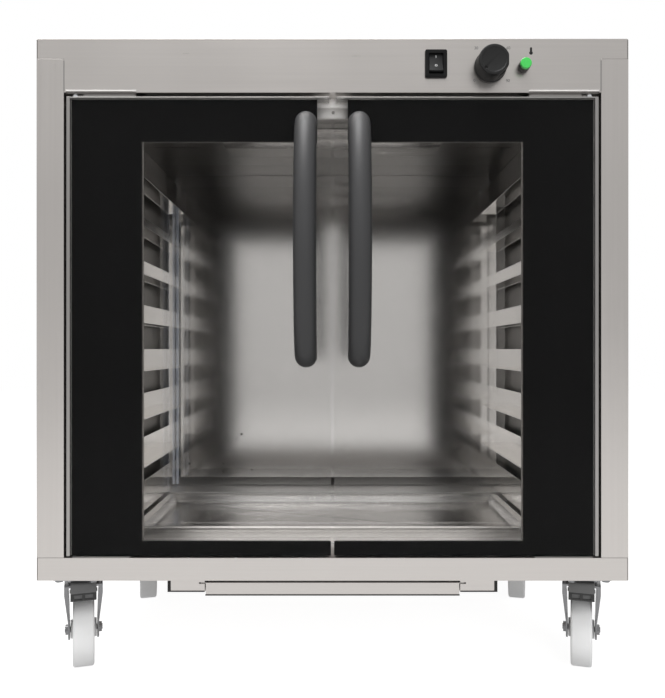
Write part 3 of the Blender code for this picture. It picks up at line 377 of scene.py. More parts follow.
materials = {
    "casing": steel("casingSteel", (0.50, 0.475, 0.455), 0.30, alongX),
    "posts": steel("postSteel", (0.50, 0.475, 0.455), 0.30, alongZ),
    "liner": steel("linerSteel", (0.62, 0.60, 0.58), 0.24, alongZ, depth=0.05),
    # rack: the stainless made much lighter than the liner, as painted light on the rack strips
    "rack": steel("rackSteelPaintedLight", (0.98, 0.955, 0.925), 0.12, alongZ, depth=0.03, relief=0.0),
    # wall and ceiling: the liner's stainless made darker, as painted shade on the cavity's sides, top and
    # back
    "wall": steel("wallSteelPaintedShade", (0.36, 0.345, 0.33), 0.45, alongZ, depth=0.08),
    "ceiling": steel("ceilingSteelPaintedShade", (0.145, 0.135, 0.125), 0.30, alongY, depth=0.06),
    "channel": steel("channelSteel", (0.42, 0.405, 0.39), 0.26, alongX, depth=0.06),
    "baffle": steel("baffleSteel", (0.60, 0.585, 0.57), 0.145, alongZ, depth=0.03, relief=0.02),
    # ledge: the cavity floor's stainless made lighter than the liner, as painted light from above
    "ledge": steel("ledgeSteelPaintedLight", (0.95, 0.93, 0.91), 0.42, alongX, depth=0.03, relief=0.0, metallic=0.86),
    "pressing": steel("pressedSteel", (0.66, 0.645, 0.63), 0.25, alongX, depth=0.012, cloud=0.03, relief=0.0),
    "zinc": steel("zincPlate", (0.60, 0.61, 0.62), 0.25, (60, 60, 60), depth=0.15),
    "forged": steel("forgedZinc", (0.20, 0.20, 0.205), 0.22, (60, 60, 60), depth=0.15),
    "hinge": steel("hingeSteel", (0.27, 0.26, 0.25), 0.32, (120, 120, 120), depth=0.12),
    "frame": steel("frameAluminium", (0.32, 0.31, 0.30), 0.30, alongZ),
    "heater": steel("heaterSteel", (0.22, 0.20, 0.18), 0.45, (80, 80, 80), depth=0.3),
    "motor": steel("castAlloy", (0.50, 0.51, 0.52), 0.50, (90, 90, 90), depth=0.3),
    # catch and catchStep: stainless made lighter than the casing, as painted light; the step is darker than
    # the catch, as painted shade
    "catch": steel("catchSteelPaintedLight", (0.96, 0.94, 0.92), 0.46, alongX, depth=0.05, relief=0.04, metallic=0.75),
    "catchStep": steel("catchStepSteelPaintedLightAndShade", (0.66, 0.645, 0.63), 0.45, alongX, depth=0.05, relief=0.04,
                       metallic=0.7),
    "print": plastic("blackPrint", (0.0058, 0.0058, 0.0058), 0.35, 300.0, 0.05, 0.0),
    "black": plastic("blackPlastic", (0.0085, 0.0085, 0.0085), 0.42, specular=0.22),
    "pedal": plastic("pedalPlastic", (0.135, 0.135, 0.135), 0.50, 700.0, 0.12, 0.3),
    "pedalBand": plastic("pedalBand", (0.045, 0.045, 0.045), 0.55, 700.0, 0.12, 0.25),
    "sleeve": plastic("probeSleeve", (0.55, 0.60, 0.70), 0.50, 700.0, 0.06, 0.2),
    # edge: near-black plastic for the hems, as painted shade under the folds
    "edge": plastic("hemPaintedShade", (0.030, 0.029, 0.028), 0.60, 700.0, 0.06, 0.2),
    "bezel": plastic("bezelPlastic", (0.0045, 0.0045, 0.0045), 0.50, 900.0, 0.06, 0.10),
    "rocker": plastic("rockerPlastic", (0.0120, 0.0122, 0.0122), 0.50, 900.0, 0.08, 0.15),
    "handle": plastic("handlePlastic", (0.031, 0.031, 0.032), 0.50, 1400.0, 0.12, 0.36),
    "rubber": plastic("sealRubber", (0.020, 0.020, 0.020), 0.75, 500.0, 0.2, 0.3),
    "wheel": plastic("wheelPlastic", (0.89, 0.89, 0.89), 0.50, 600.0, 0.03),
    "lamp": plastic("lampGreen", (0.038, 0.44, 0.068), 0.18, 300.0, 0.05),
    "white": plastic("whiteMark", (0.62, 0.62, 0.62), 0.45, 900.0, 0.05),
    "ink": plastic("greyInk", (0.10, 0.10, 0.10), 0.60, 900.0, 0.05, 0.2),
    "glass": clearGlass("doorGlass"),
}
print("materials ready:", len(materials))


def bothSides(*pieces):
    return [f"{side}_{piece}" for piece in pieces for side in sides]


def allCasters(*pieces):
    return [f"{end}_{piece}" for end in ("front", "rear") for piece in bothSides(*pieces)]


nodeFinish = {
    "casing": ["top_cover", "base_panel", "rear_panel", "control_fascia", "bottom_rail", "drip_tray",
               *bothSides("drip_rail", "caster_rail")],
    "posts": bothSides("side_panel"),
    "liner": ["front_frame"],
    "rack": bothSides("tray_rack"),
    "wall": bothSides("liner"),
    "ceiling": ["liner_top", "liner_back"],
    "ledge": ["liner_floor"],
    "pressing": ["water_basin"],
    "baffle": ["back_baffle"],
    "hinge": bothSides("top_hinge", "bottom_hinge"),
    "sleeve": ["probe_tube"],
    "zinc": ["thermostat_body", "fan_impeller"],
    "forged": allCasters("caster_plate", "caster_fork"),
    "frame": bothSides("door_frame"),
    "heater": ["heating_element"],
    "motor": ["fan_motor"],
    "print": bothSides("door_print"),
    "black": ["switch_housing", "switch_rocker", "thermostat_knob", "cable_gland"],
    "pedal": ["front_left_brake_pedal", "front_right_brake_pedal"],
    "handle": bothSides("door_handle"),
    "rubber": bothSides("door_seal"),
    "wheel": allCasters("caster_wheel"),
    "lamp": ["pilot_lamp"],
    "glass": bothSides("door_glass"),
}
for finish, names in nodeFinish.items():
    for name in names:
        for slot in nodes[name].material_slots:
            slot.material = materials[finish]
print("solids finished:", sum(len(names) for names in nodeFinish.values()))

record = frame["record"]
bodyOf = {node: body for body, names in record["behaviour"]["bodies"].items() for node in names}
slotOf = {row["node"]: row["material_slot"] for row in record["subparts"]}
finishOf = {node: materials[finish] for finish, names in nodeFinish.items() for node in names}


def standFor(piece, *replaced, material=None, smooth=35):
    # finishes a piece with the body and material of the solid that it replaces
    first = replaced[0]
    return finishPiece(piece, bodyOf[first], material or finishOf[first], slotOf[first], *replaced,
                       smooth=smooth)


def addTo(piece, nodeName, material, slot=None):
    # finishes a small extra piece that moves with a solid
    return finishPiece(piece, bodyOf[nodeName], material, slot or slotOf[nodeName])


# Sheet metal: the folded solids with the small round edges that a press brake leaves

sheetMetal = {"edgeRound": 0.0003, "segments": 2}
foldedSheets = ["top_cover", "base_panel", "rear_panel", "control_fascia", "bottom_rail",
                *bothSides("side_panel"), "front_frame", *bothSides("liner"), "liner_top", "liner_floor",
                "liner_back", "back_baffle", *bothSides("tray_rack"), "drip_tray",
                *bothSides("drip_rail", "caster_rail", "door_frame")]
for name in foldedSheets:
    sheet = cleanCopy(name, name + "_sheet", whole=False)
    roundEdges(sheet, sheetMetal["edgeRound"], sheetMetal["segments"])
    standFor(sheet, name, smooth=1)
print("sheet metal:", len(foldedSheets))


# Softened solids: the smaller castings and mouldings keep their shape and lose their sharp edges

softened = {"thermostat_body": 0.0004, "fan_motor": 0.0006, "fan_impeller": 0.0003, "left_door_seal": 0.0022,
            "right_door_seal": 0.0022}
for name, width in softened.items():
    soft = cleanCopy(name, name + "_soft")
    roundEdges(soft, width, 3)
    standFor(soft, name)
coil = cleanCopy("heating_element", "heating_element_coil", whole=False)
standFor(coil, "heating_element", smooth=60)
print("solids softened:", len(softened) + 1)


def bendBar(name, stations, radius, steps, roundSides):
    # a round bar along a Bezier path: a station is a place with the handles before and after it
    bpy.ops.object.select_all(action="DESELECT")
    bpy.ops.curve.primitive_bezier_curve_add()
    bar = bpy.context.object
    spline = bar.data.splines[0]
    spline.bezier_points.add(len(stations) - len(spline.bezier_points))
    for point, (place, before, after) in zip(spline.bezier_points, stations):
        point.handle_left_type = point.handle_right_type = "FREE"
        point.co, point.handle_left, point.handle_right = place, before, after
    spline.resolution_u = steps
    bar.data.bevel_depth = radius
    bar.data.bevel_resolution = roundSides
    bar.data.use_fill_caps = True
    bpy.ops.object.convert(target="MESH")
    bar = bpy.context.object
    bar.name = bar.data.name = name
    bpy.ops.object.transform_apply(location=True, rotation=True, scale=True)
    return mergeMesh(bar, outwards=True)


# Door handles: a smooth half-ellipse bar, with its studs and washers behind the glass

handleLook = {"glassGap": 0.0003, "steps": 40, "roundSides": 8, "bow": 0.5523, "studRadius": 0.0035,
              "studShift": 0.0005, "washerRadius": 0.011, "washerDepth": 0.004, "washerRound": 0.0008}


def buildHandle(side):
    look = handleLook
    node = side + "_door_handle"
    low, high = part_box(node)
    glassLow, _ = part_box(side + "_door_glass")
    radius = (high[0] - low[0]) / 2
    across = (high[0] + low[0]) / 2
    top, bottom = high[2] - radius, low[2] + radius
    middle, halfSpan = (top + bottom) / 2, (top - bottom) / 2
    foot = glassLow[1] - look["glassGap"]
    reach = foot - (low[1] + radius)
    bow, rise = reach * look["bow"], halfSpan * look["bow"]        # these make quarter ellipses
    stations = [((across, foot, top), (across, foot + bow, top), (across, foot - bow, top)),
                ((across, foot - reach, middle), (across, foot - reach, middle + rise),
                 (across, foot - reach, middle - rise)),
                ((across, foot, bottom), (across, foot - bow, bottom), (across, foot + bow, bottom))]
    bar = bendBar(node + "_bar", stations, radius, look["steps"], look["roundSides"])
    standFor(bar, node, smooth=50)
    inner = high[1] - look["washerDepth"]
    for end, place in (("upper", top), ("lower", bottom)):
        stud = addRound("stud", (across, (foot + inner) / 2 + look["studShift"], place), look["studRadius"],
                        inner - foot, "Y", 20)
        washer = addRound("washer", (across, (inner + high[1]) / 2, place), look["washerRadius"],
                          look["washerDepth"], "Y", 40)
        roundEdges(washer, look["washerRound"])
        addTo(joinPieces(f"{node}_screw_{end}", [washer, stud]), node, materials["zinc"])


for side in sides:
    buildHandle(side)
print("handles ready")


# Hinges and window edges: modelled for the right door, and mirrored for the left

hingeLook = {"leafNear": 0.2607, "leafFar": 0.3335, "leafHalf": 0.0042, "leafThick": 0.0042,
             "endRound": 0.0034, "leafRound": 0.0004, "neckHalf": 0.0020, "neckInset": 0.0008,
             "neckStop": 0.002, "overlap": 0.001, "barrelRadius": 0.0046, "barrelRound": 0.0006,
             "pinRadius": 0.0020, "pinShort": 0.0001, "bracketThick": 0.0012, "bracketCorner": 0.004,
             "bracketRound": 0.0003, "pivot": (0.3425, -0.28475)}
edgeLook = {"inner": 0.2511, "outer": 0.2544, "low": 0.2016, "high": 0.7335, "notch": 0.0215,
            "topWidth": 0.0017, "topShort": 0.001, "front": -0.2878, "back": -0.2868, "edgeRound": 0.0002}
windowLook = ((0.0300, -0.2892, 0.2016), (0.2534, -0.2872, 0.7326))      # the clear part of the black print


def buildTopHinge():
    look = hingeLook
    low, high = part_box("right_top_hinge")
    x, y = look["pivot"]
    base, top = low[2], low[2] + look["leafThick"]
    leaf = addBlock("leaf", (look["leafNear"], y - look["leafHalf"], base),
                    (look["leafFar"], y + look["leafHalf"], top))
    bevelEdges(leaf, runsAlong("z"), look["endRound"], 5)
    half, inset = look["neckHalf"], look["neckInset"]
    neck = addBlock("neck", (look["leafFar"] - look["overlap"], y - half, base + inset),
                    (x - look["neckStop"], y + half, top - inset))
    combine(leaf, neck)
    roundEdges(leaf, look["leafRound"])
    barrel = addRound("barrel", (x, y, (base + top) / 2), look["barrelRadius"], top - base, "Z", 40)
    roundEdges(barrel, look["barrelRound"], 3)
    pinLow = top - look["overlap"]
    pin = addRound("pin", (x, y, (pinLow + high[2]) / 2), look["pinRadius"], high[2] - pinLow, "Z", 24)
    return leaf, joinPieces("barrel", [barrel, pin])


def buildBottomHinge():
    look = hingeLook
    low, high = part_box("right_bottom_hinge")
    x, y = look["pivot"]
    plate = addBlock("bracket", low, (high[0], high[1], low[2] + look["bracketThick"]))
    bevelEdges(plate, runsAlong("z"), look["bracketCorner"], 5)
    pin = addRound("pin", (x, y, (low[2] + high[2]) / 2), look["pinRadius"],
                   high[2] - low[2] - look["pinShort"], "Z", 24)
    combine(plate, pin)
    return roundEdges(plate, look["bracketRound"])


def buildWindowEdge():
    # the lit edge of the glass along the outer side and the top of the window
    look = edgeLook
    side = addBlock("windowSide", (look["inner"], look["front"], look["low"]),
                    (look["outer"], look["back"], look["high"]))
    top = addBlock("windowTop", (look["notch"], look["front"], look["high"] - look["topWidth"]),
                   (look["outer"] - look["topShort"], look["back"], look["high"]))
    combine(side, top)
    return roundEdges(side, look["edgeRound"])


def buildHinges():
    leaf, barrel = buildTopHinge()
    bracket = buildBottomHinge()
    edge = buildWindowEdge()
    window = addBlock("window", *windowLook)
    for side, sign in sides.items():
        make = lambda shape, name: copyPiece(shape, side + name, mirror=sign < 0)
        standFor(make(leaf, "_hinge_leaf"), side + "_top_hinge")
        addTo(make(barrel, "_hinge_barrel"), side + "_top_hinge", materials["zinc"])
        standFor(make(bracket, "_hinge_bracket"), side + "_bottom_hinge")
        addTo(make(edge, "_window_edge"), side + "_door_print", materials["ceiling"], "door_frame")
        border = cleanCopy(side + "_door_print", side + "_print_border")
        combine(border, make(window, "_window"), "DIFFERENCE")
        standFor(border, side + "_door_print")
    for shape in (leaf, barrel, bracket, edge, window):
        bpy.data.objects.remove(shape)


buildHinges()
print("hinges ready")


# Fascia: relieved over the hinges, with the folded lip above them in lighter steel as a painted highlight,
# and the seams beside the posts as darker strips of painted shade

fasciaLook = {"relief": ((0.2600, -0.2935, 0.7960), (0.3535, -0.2900, 0.7981)),
              "lip": ((0.2600, -0.29305, 0.7984), (0.3535, -0.2926, 0.8003)),
              "seam": ((0.3549, -0.29298, 0.7990), (0.3567, -0.2926, 0.8390)), "edgeRound": 0.0001}


def trimFascia():
    fascia = bpy.data.objects["control_fascia_sheet"]
    # the lip takes the lighter catchStep steel as a painted highlight; the seam strips take the darker frame
    # steel as painted shade in the joint gaps
    for name, finish in (("relief", None), ("lip", "catchStep"), ("seam", "frame")):
        shape = addBlock(name, *fasciaLook[name])
        other = copyPiece(shape, name + "Left", mirror=True)
        if finish:
            both = joinPieces("fascia_" + name, [shape, other])
            addTo(roundEdges(both, fasciaLook["edgeRound"], 1), "control_fascia", materials[finish])
        else:
            combine(fascia, shape, "DIFFERENCE")
            combine(fascia, other, "DIFFERENCE")


trimFascia()
print("fascia trimmed")


# Cavity: the door catch under the lintel, ceiling plates, baffle screws and the probe tube

screwLook = {"faceRound": 0.5, "slotDepth": 0.3, "slotHalf": 0.16}        # shares of its depth and radius
cavityLook = {"catch": ((-0.0255, -0.2690, 0.7844), (0.0255, -0.2629, 0.7968)),
              "catchStep": ((-0.0235, -0.2672, 0.7699), (0.0235, -0.2629, 0.7846)), "catchRound": 0.0004,
              "catchScrew": (0.0010, 0.7778), "catchScrewRadius": 0.0022, "catchScrewDepth": 0.0010,
              "catchScrewOut": 0.0004, "plateHalf": 0.18, "plates": ((-0.1280, -0.0745), (-0.0735, -0.0170)),
              "plateThick": 0.0013, "plateGap": 0.0003, "plateRound": 0.0003, "screwRadius": 0.0038,
              "screwDepth": 0.0016, "screwSink": 0.0002, "screwPlace": (0.290, 0.7660), "tubeRadius": 0.0030,
              "tubeSteps": 16, "tubeSides": 5, "elbow": 0.0095, "elbowTurn": 0.55, "tubeDrop": 0.0190}
facingAxis = {"-Y": Vector((0, -1, 0)), "Y": Vector((0, 1, 0))}


def addScrew(name, place, radius, depth, along):
    # a round head with a straight slot
    screw = addRound(name, place, radius, depth, along, 28)
    front = Vector(place) + facingAxis[along] * depth / 2
    bevelEdges(screw, lambda spot, edge: near((spot - front).dot(facingAxis[along]), 0),
               depth * screwLook["faceRound"], 3)
    reach = Vector((radius, depth * screwLook["slotDepth"], radius * screwLook["slotHalf"]))
    combine(screw, addBlock("slot", front - reach, front + reach), "DIFFERENCE")
    return screw


def buildCatch():
    look = cavityLook
    # the catch plate carries painted light, and its lower step a darker painted shade
    for name in ("catch", "catchStep"):
        plate = roundEdges(addBlock("door_" + name, *look[name]), look["catchRound"])
        addTo(plate, "front_frame", materials[name])
    x, z = look["catchScrew"]
    stepFront = look["catchStep"][0][1]
    screw = addScrew("door_catch_screw", (x, stepFront - look["catchScrewOut"], z), look["catchScrewRadius"],
                     look["catchScrewDepth"], "-Y")
    addTo(screw, "front_frame", materials["hinge"])


def buildCavity():
    look = cavityLook
    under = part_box("liner_top")[0][2] - look["plateGap"]
    panels = [addBlock("panel", (-look["plateHalf"], front, under - look["plateThick"]),
                       (look["plateHalf"], back, under)) for front, back in look["plates"]]
    panels = joinPieces("ceiling_plates", panels)
    addTo(roundEdges(panels, look["plateRound"]), "liner_top", materials["channel"])

    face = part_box("back_baffle")[0][1] + look["screwSink"]
    across, height = look["screwPlace"]
    screws = [addScrew("screw", (sign * across, face - look["screwDepth"] / 2, height), look["screwRadius"],
                       look["screwDepth"], "-Y") for sign in sides.values()]
    addTo(joinPieces("baffle_screws", screws), "back_baffle", materials["zinc"])

    low, high = (Vector(corner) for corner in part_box("probe_tube"))
    radius, bend = look["tubeRadius"], look["elbow"]
    x, y = (low.x + high.x) / 2, low.y + radius
    top, bottom = high.z - radius, low.z - look["tubeDrop"]
    back, turn = high.y, bend * look["elbowTurn"]
    stations = [((x, back, top), (x, back, top), (x, y + turn, top)),
                ((x, y, top - bend), (x, y, top - bend + turn), (x, y, top - bend * 2)),
                ((x, y, bottom), (x, y, bottom + bend), (x, y, bottom))]
    tube = bendBar("probe_tube_sleeve", stations, radius, look["tubeSteps"], look["tubeSides"])
    standFor(tube, "probe_tube", smooth=50)


buildCatch()
buildCavity()
print("cavity ready")


# Rear: the cable gland's flange, dome and thread, and the screws of the rear panel

rearLook = {"flangeRadius": 0.0128, "flangeDepth": 0.0044, "flangeRound": 0.0008, "domeRadius": 0.0105,
            "domeRound": 0.0030, "threadRadius": 0.0080, "boreRadius": 0.0042, "boreDepth": 0.012,
            "edgeRound": 0.0003, "gap": 0.0002, "screwRadius": 0.0040, "screwDepth": 0.0020,
            "screwSink": 0.0004, "screwAcross": (-0.381, 0, 0.381),
            "screwHeights": (0.163, 0.390, 0.620, 0.853)}


def buildRear():
    look = rearLook
    low, high = (Vector(corner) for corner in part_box("cable_gland"))
    x, _, z = (low + high) / 2
    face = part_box("rear_panel")[1][1] + look["gap"]
    flangeEnd = face + look["flangeDepth"]
    flange = addRound("flange", (x, (face + flangeEnd) / 2, z), look["flangeRadius"], look["flangeDepth"],
                      "Y", 6)
    bevelEdges(flange, runsAlong("y"), look["flangeRound"], 2)
    dome = addRound("dome", (x, (flangeEnd + high.y) / 2, z), look["domeRadius"], high.y - flangeEnd, "Y", 40)
    bevelEdges(dome, lambda place, along: near(place.y, high.y), look["domeRound"], 5)
    thread = addRound("thread", (x, (low.y + face) / 2, z), look["threadRadius"], face - low.y + look["gap"],
                      "Y", 32)
    combine(flange, dome)
    combine(flange, thread)
    bore = addRound("bore", (x, high.y, z), look["boreRadius"], look["boreDepth"], "Y", 28)
    combine(flange, bore, "DIFFERENCE")
    roundEdges(flange, look["edgeRound"])
    flange.name = flange.data.name = "cable_gland_body"
    standFor(flange, "cable_gland")

    first = addScrew("screw", (0, face + look["screwDepth"] / 2 - look["screwSink"], 0), look["screwRadius"],
                     look["screwDepth"], "Y")
    outerHeights = (look["screwHeights"][0], look["screwHeights"][-1])
    places = [(across, height) for across in look["screwAcross"] for height in look["screwHeights"]
              if across or height in outerHeights]
    screws = [copyPiece(first, "screw", Matrix.Translation((across, 0, height))) for across, height in places]
    bpy.data.objects.remove(first)
    addTo(joinPieces("rear_panel_screws", screws), "rear_panel", materials["zinc"], "zinc")


buildRear()
print("rear ready")


# Thermostat knob: skirt, gripped body with two flats, dished face and a round pointer dimple

knobLook = {"sides": 72, "skirt": 0.0040, "skirtRadius": 0.0213, "bodyRadius": 0.0206, "faceRadius": 0.0200,
            "faceMiddle": 0.004, "edgeRound": 0.0016, "faceInset": 0.0022, "dishInset": 0.0006,
            "faceDish": 0.0005, "softEdge": 0.00025, "flatTurns": (0, -48), "flatRadius": 0.0187,
            "flatOuter": 0.03, "flatHalf": 0.02, "flatAhead": 0.002, "flatStart": 0.010,
            "dimpleRadius": 0.0020, "dimpleDistance": 0.0150, "dimpleTurn": -135}


def buildKnob():
    look = knobLook
    low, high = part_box("thermostat_knob")
    centre = Vector(((low[0] + high[0]) / 2, 0, (low[2] + high[2]) / 2))
    back, front, skirt = high[1], low[1], look["skirt"]
    knob = addRound("thermostat_knob_cap", (centre.x, back - skirt / 2, centre.z), look["skirtRadius"], skirt,
                    "-Y", look["sides"])
    outward = lambda place, normal: normal.y < -0.9 and place.y < back - skirt / 2
    insetFaces(knob, outward, look["skirtRadius"] - look["bodyRadius"])
    shrink = look["faceRadius"] / look["bodyRadius"]
    atFront = lambda place, normal: normal.y < -0.9 and (place.xz - centre.xz).length < look["faceMiddle"]
    pushFaces(knob, atFront, (0, front + skirt - back, 0), (shrink, 1, shrink), (centre.x, front, centre.z))
    bevelEdges(knob, lambda place, along: near(place.y, front, 0.0002), look["edgeRound"], 4)
    insetFaces(knob, atFront, look["faceInset"])
    insetFaces(knob, atFront, look["dishInset"], -look["faceDish"])
    for turn in look["flatTurns"]:
        block = addBlock("flat", (look["flatRadius"], front - look["flatAhead"], -look["flatHalf"]),
                         (look["flatOuter"], front + look["flatStart"], look["flatHalf"]))
        block.data.transform(Matrix.Translation(centre) @ Matrix.Rotation(-math.radians(turn), 4, "Y"))
        combine(knob, block, "DIFFERENCE")
    turn, distance = math.radians(look["dimpleTurn"]), look["dimpleDistance"]
    spot = Vector((centre.x + distance * math.sin(turn), front, centre.z + distance * math.cos(turn)))
    dimple = addPiece("dimple", bpy.ops.mesh.primitive_uv_sphere_add, segments=24, ring_count=12,
                      radius=look["dimpleRadius"], location=spot)
    combine(knob, dimple, "DIFFERENCE")
    roundEdges(knob, look["softEdge"], 2, 30)
    standFor(knob, "thermostat_knob", smooth=40)


buildKnob()
print("knob ready")


# Drip tray and its rails: the folded hems along their lower edges and outer ends, near black as painted shade

hemLook = {"height": 0.0021, "end": 0.0046, "trayHalf": 0.1735, "proud": 0.0001, "thick": 0.0004,
           "rise": 0.0001, "nearGap": 0.0004, "farGap": 0.0002, "edgeRound": 0.0001}


def buildHems():
    look = hemLook
    trayLow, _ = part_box("drip_tray")
    front, base = trayLow[1] - look["proud"], trayLow[2]
    hem = addBlock("drip_tray_hem", (-look["trayHalf"], front, base + look["rise"]),
                   (look["trayHalf"], front + look["thick"], base + look["height"]))
    addTo(roundEdges(hem, look["edgeRound"], 1), "drip_tray", materials["edge"])
    low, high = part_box("right_drip_rail")
    front, base, far = low[1] - look["proud"], low[2], high[0] - look["farGap"]
    lower = addBlock("drip_rail_hem", (low[0] + look["nearGap"], front, base + look["rise"]),
                     (far, front + look["thick"], base + look["height"]))
    end = addBlock("drip_rail_end", (high[0] - look["end"], front, base + look["rise"]),
                   (far, front + look["thick"], high[2] - look["farGap"]))
    combine(lower, end)
    pair = joinPieces("drip_rail_hems", [lower, copyPiece(lower, "drip_rail_hem_left", mirror=True)])
    addTo(roundEdges(pair, look["edgeRound"], 1), "right_drip_rail", materials["edge"])


buildHems()
print("hems ready")


# Switch: rounded bezel and a rocker with its two marks

switchLook = {"corner": 0.0024, "cornerDepth": 0.003, "edgeRound": 0.0006, "rockerRound": 0.0005,
              "barHalf": (0.0004, 0.0016, 0.0002), "barHeight": 0.8440, "ringRadius": 0.0014,
              "ringThick": 0.00035, "ringHeight": 0.8318}


def placeMark(mark, surface, x, z):
    # lays a flat mark, drawn in X and Y about the origin, on the front of a piece
    _, place, normal, _ = surface.ray_cast(Vector((x, -1, z)), Vector((0, 1, 0)))
    turn = normal.to_track_quat("Z", "Y").to_matrix().to_4x4()
    mark.data.transform(Matrix.Translation(place) @ turn)


def buildSwitch():
    look = switchLook
    housing = cleanCopy("switch_housing", "switch_bezel")
    low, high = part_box("switch_housing")
    bevelEdges(housing, lambda place, along: abs(along.y) > 0.9 and place.y < low[1] + look["cornerDepth"]
               and (near(place.x, low[0]) or near(place.x, high[0])), look["corner"], 5)
    roundEdges(housing, look["edgeRound"], 3, 50)
    standFor(housing, "switch_housing", material=materials["bezel"])

    rocker = cleanCopy("switch_rocker", "switch_rocker_key")
    applyModifier(rocker, "BEVEL", width=look["rockerRound"], segments=3, limit_method="ANGLE",
                  angle_limit=math.radians(25))
    standFor(rocker, "switch_rocker", material=materials["rocker"], smooth=30)
    bpy.context.view_layer.update()
    middle = (low[0] + high[0]) / 2
    half = Vector(look["barHalf"])
    bar = addBlock("switch_mark_on", -half, half)
    placeMark(bar, rocker, middle, look["barHeight"])
    ring = addPiece("switch_mark_off", bpy.ops.mesh.primitive_torus_add, major_radius=look["ringRadius"],
                    minor_radius=look["ringThick"], major_segments=32, minor_segments=8)
    placeMark(ring, rocker, middle, look["ringHeight"])
    for mark in (bar, ring):
        addTo(mark, "switch_rocker", materials["white"])


buildSwitch()
print("switch ready")


# Printed marks on the fascia: four generic numbers round the knob and a thermometer

fasciaMarks = {"numbers": (("30", 0.1903, 0.8555), ("60", 0.2329, 0.8556), ("0", 0.1879, 0.8126),
                           ("90", 0.2323, 0.8122)), "size": 0.0054, "depth": 0.00006, "proud": 0.0001,
               "thermometer": (0.2629, 0.8529), "bulb": 0.0024, "bulbDepth": 0.0001, "stem": 0.0029,
               "stemHeight": 0.0075, "stemHalfDepth": 0.00004, "stemRound": 0.95}


def addText(name, words, size, depth):
    bpy.ops.object.select_all(action="DESELECT")
    bpy.ops.object.text_add()
    text = bpy.context.object
    text.data.body = words
    text.data.size = size
    text.data.align_x = "CENTER"
    text.data.align_y = "CENTER"
    text.data.extrude = depth
    bpy.ops.object.convert(target="MESH")
    text = bpy.context.object
    text.name = text.data.name = name
    return text


def buildMarks():
    look = fasciaMarks
    low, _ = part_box("control_fascia")
    front = low[1] - look["proud"]
    flat = Matrix.Translation((0, front, 0)) @ Matrix.Rotation(math.pi / 2, 4, "X")
    labels = []
    for words, x, z in look["numbers"]:
        label = addText("dial_number", words, look["size"], look["depth"])
        label.data.transform(Matrix.Translation((x, 0, z)) @ flat)
        labels.append(label)
    addTo(joinPieces("dial_numbers", labels), "control_fascia", materials["ink"], "black_print")
    x, z = look["thermometer"]
    base, top, half = z - look["stemHeight"] / 2, z + look["stemHeight"] / 2, look["stem"] / 2
    bulb = addRound("thermometer_mark", (x, front, base), look["bulb"], look["bulbDepth"], "-Y", 28)
    stem = addBlock("thermometer_stem", (x - half, front - look["stemHalfDepth"], base),
                    (x + half, front + look["stemHalfDepth"], top))
    bevelEdges(stem, lambda place, along: abs(along.y) > 0.9 and place.z > z, half * look["stemRound"], 5)
    combine(bulb, stem)
    addTo(bulb, "control_fascia", materials["black"], "black_print")


buildMarks()


# Pilot lamp: dark collar with a domed green lens

lampLook = {"sides": 48, "collarShare": 0.72, "collarGap": 0.0003, "collarRound": 0.0003, "lensShare": 0.97,
            "domeInset": 0.0012, "edgeRound": 0.0009, "bodyRadius": 0.006, "bodyRound": 0.0004}


def buildLamp():
    look = lampLook
    low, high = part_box("pilot_lamp")
    radius = (high[0] - low[0]) / 2
    x, z = (low[0] + high[0]) / 2, (low[2] + high[2]) / 2
    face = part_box("control_fascia")[0][1] - look["collarGap"]
    length = face - low[1]
    collarLength = length * look["collarShare"]
    collar = addRound("pilot_lamp_collar", (x, face - collarLength / 2, z), radius, collarLength, "-Y",
                      look["sides"])
    lens = addRound("pilot_lamp_lens", (x, (low[1] + face - collarLength) / 2, z), radius * look["lensShare"],
                    length - collarLength, "-Y", look["sides"])
    bevelEdges(lens, lambda place, along: near(place.y, low[1]), look["edgeRound"], 4)
    roundEdges(collar, look["collarRound"])
    insetFaces(lens, lambda place, normal: normal.y < -0.99, look["domeInset"])
    inner = addRound("pilot_lamp_body", (x, (face + high[1]) / 2, z), look["bodyRadius"],
                     high[1] - face, "-Y")
    roundEdges(inner, look["bodyRound"])
    standFor(lens, "pilot_lamp")
    addTo(joinPieces("pilot_lamp_collar", [collar, inner]), "pilot_lamp", materials["black"], "black_plastic")


buildLamp()
print("lamp and marks ready")


# Water basin: a pressed tray with a rolled rim and rounded corners

basinLook = {"corner": 0.010, "rim": 0.0120, "floorRise": 0.0015, "slope": 0.004, "wall": 0.0012,
             "rimRound": 0.0018, "middle": 0.05}


def buildBasin():
    look = basinLook
    low, high = (Vector(corner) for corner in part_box("water_basin"))
    basin = addBlock("water_basin_pressing", low, high)
    bevelEdges(basin, runsAlong("z"), look["corner"], 6)
    pick(basin, "FACE", lambda place, normal: normal.z < -0.9)
    bpy.ops.mesh.delete(type="FACE")
    leave()
    top = lambda place, normal: normal.z > 0.9 and abs(place.x) < look["middle"]
    insetFaces(basin, top, look["rim"])
    drop = high.z - low.z - look["floorRise"] - look["wall"]
    centre = ((low.x + high.x) / 2, (low.y + high.y) / 2, high.z)
    wide, deep = high.x - low.x - 2 * look["rim"], high.y - low.y - 2 * look["rim"]
    scale = (1 - 2 * look["slope"] / wide, 1 - 2 * look["slope"] / deep, 1)
    pushFaces(basin, top, (0, 0, -drop), scale, centre)
    bevelEdges(basin, lambda place, along: abs(along.z) < 0.1 and (near(place.z, high.z)
               or near(place.z, high.z - drop)), look["rimRound"], 3)
    applyModifier(basin, "SOLIDIFY", thickness=look["wall"], offset=-1)
    standFor(basin, "water_basin", smooth=40)


buildBasin()
print("basin ready")


# Casters: one is modelled about its swivel axis, then copied to the four places

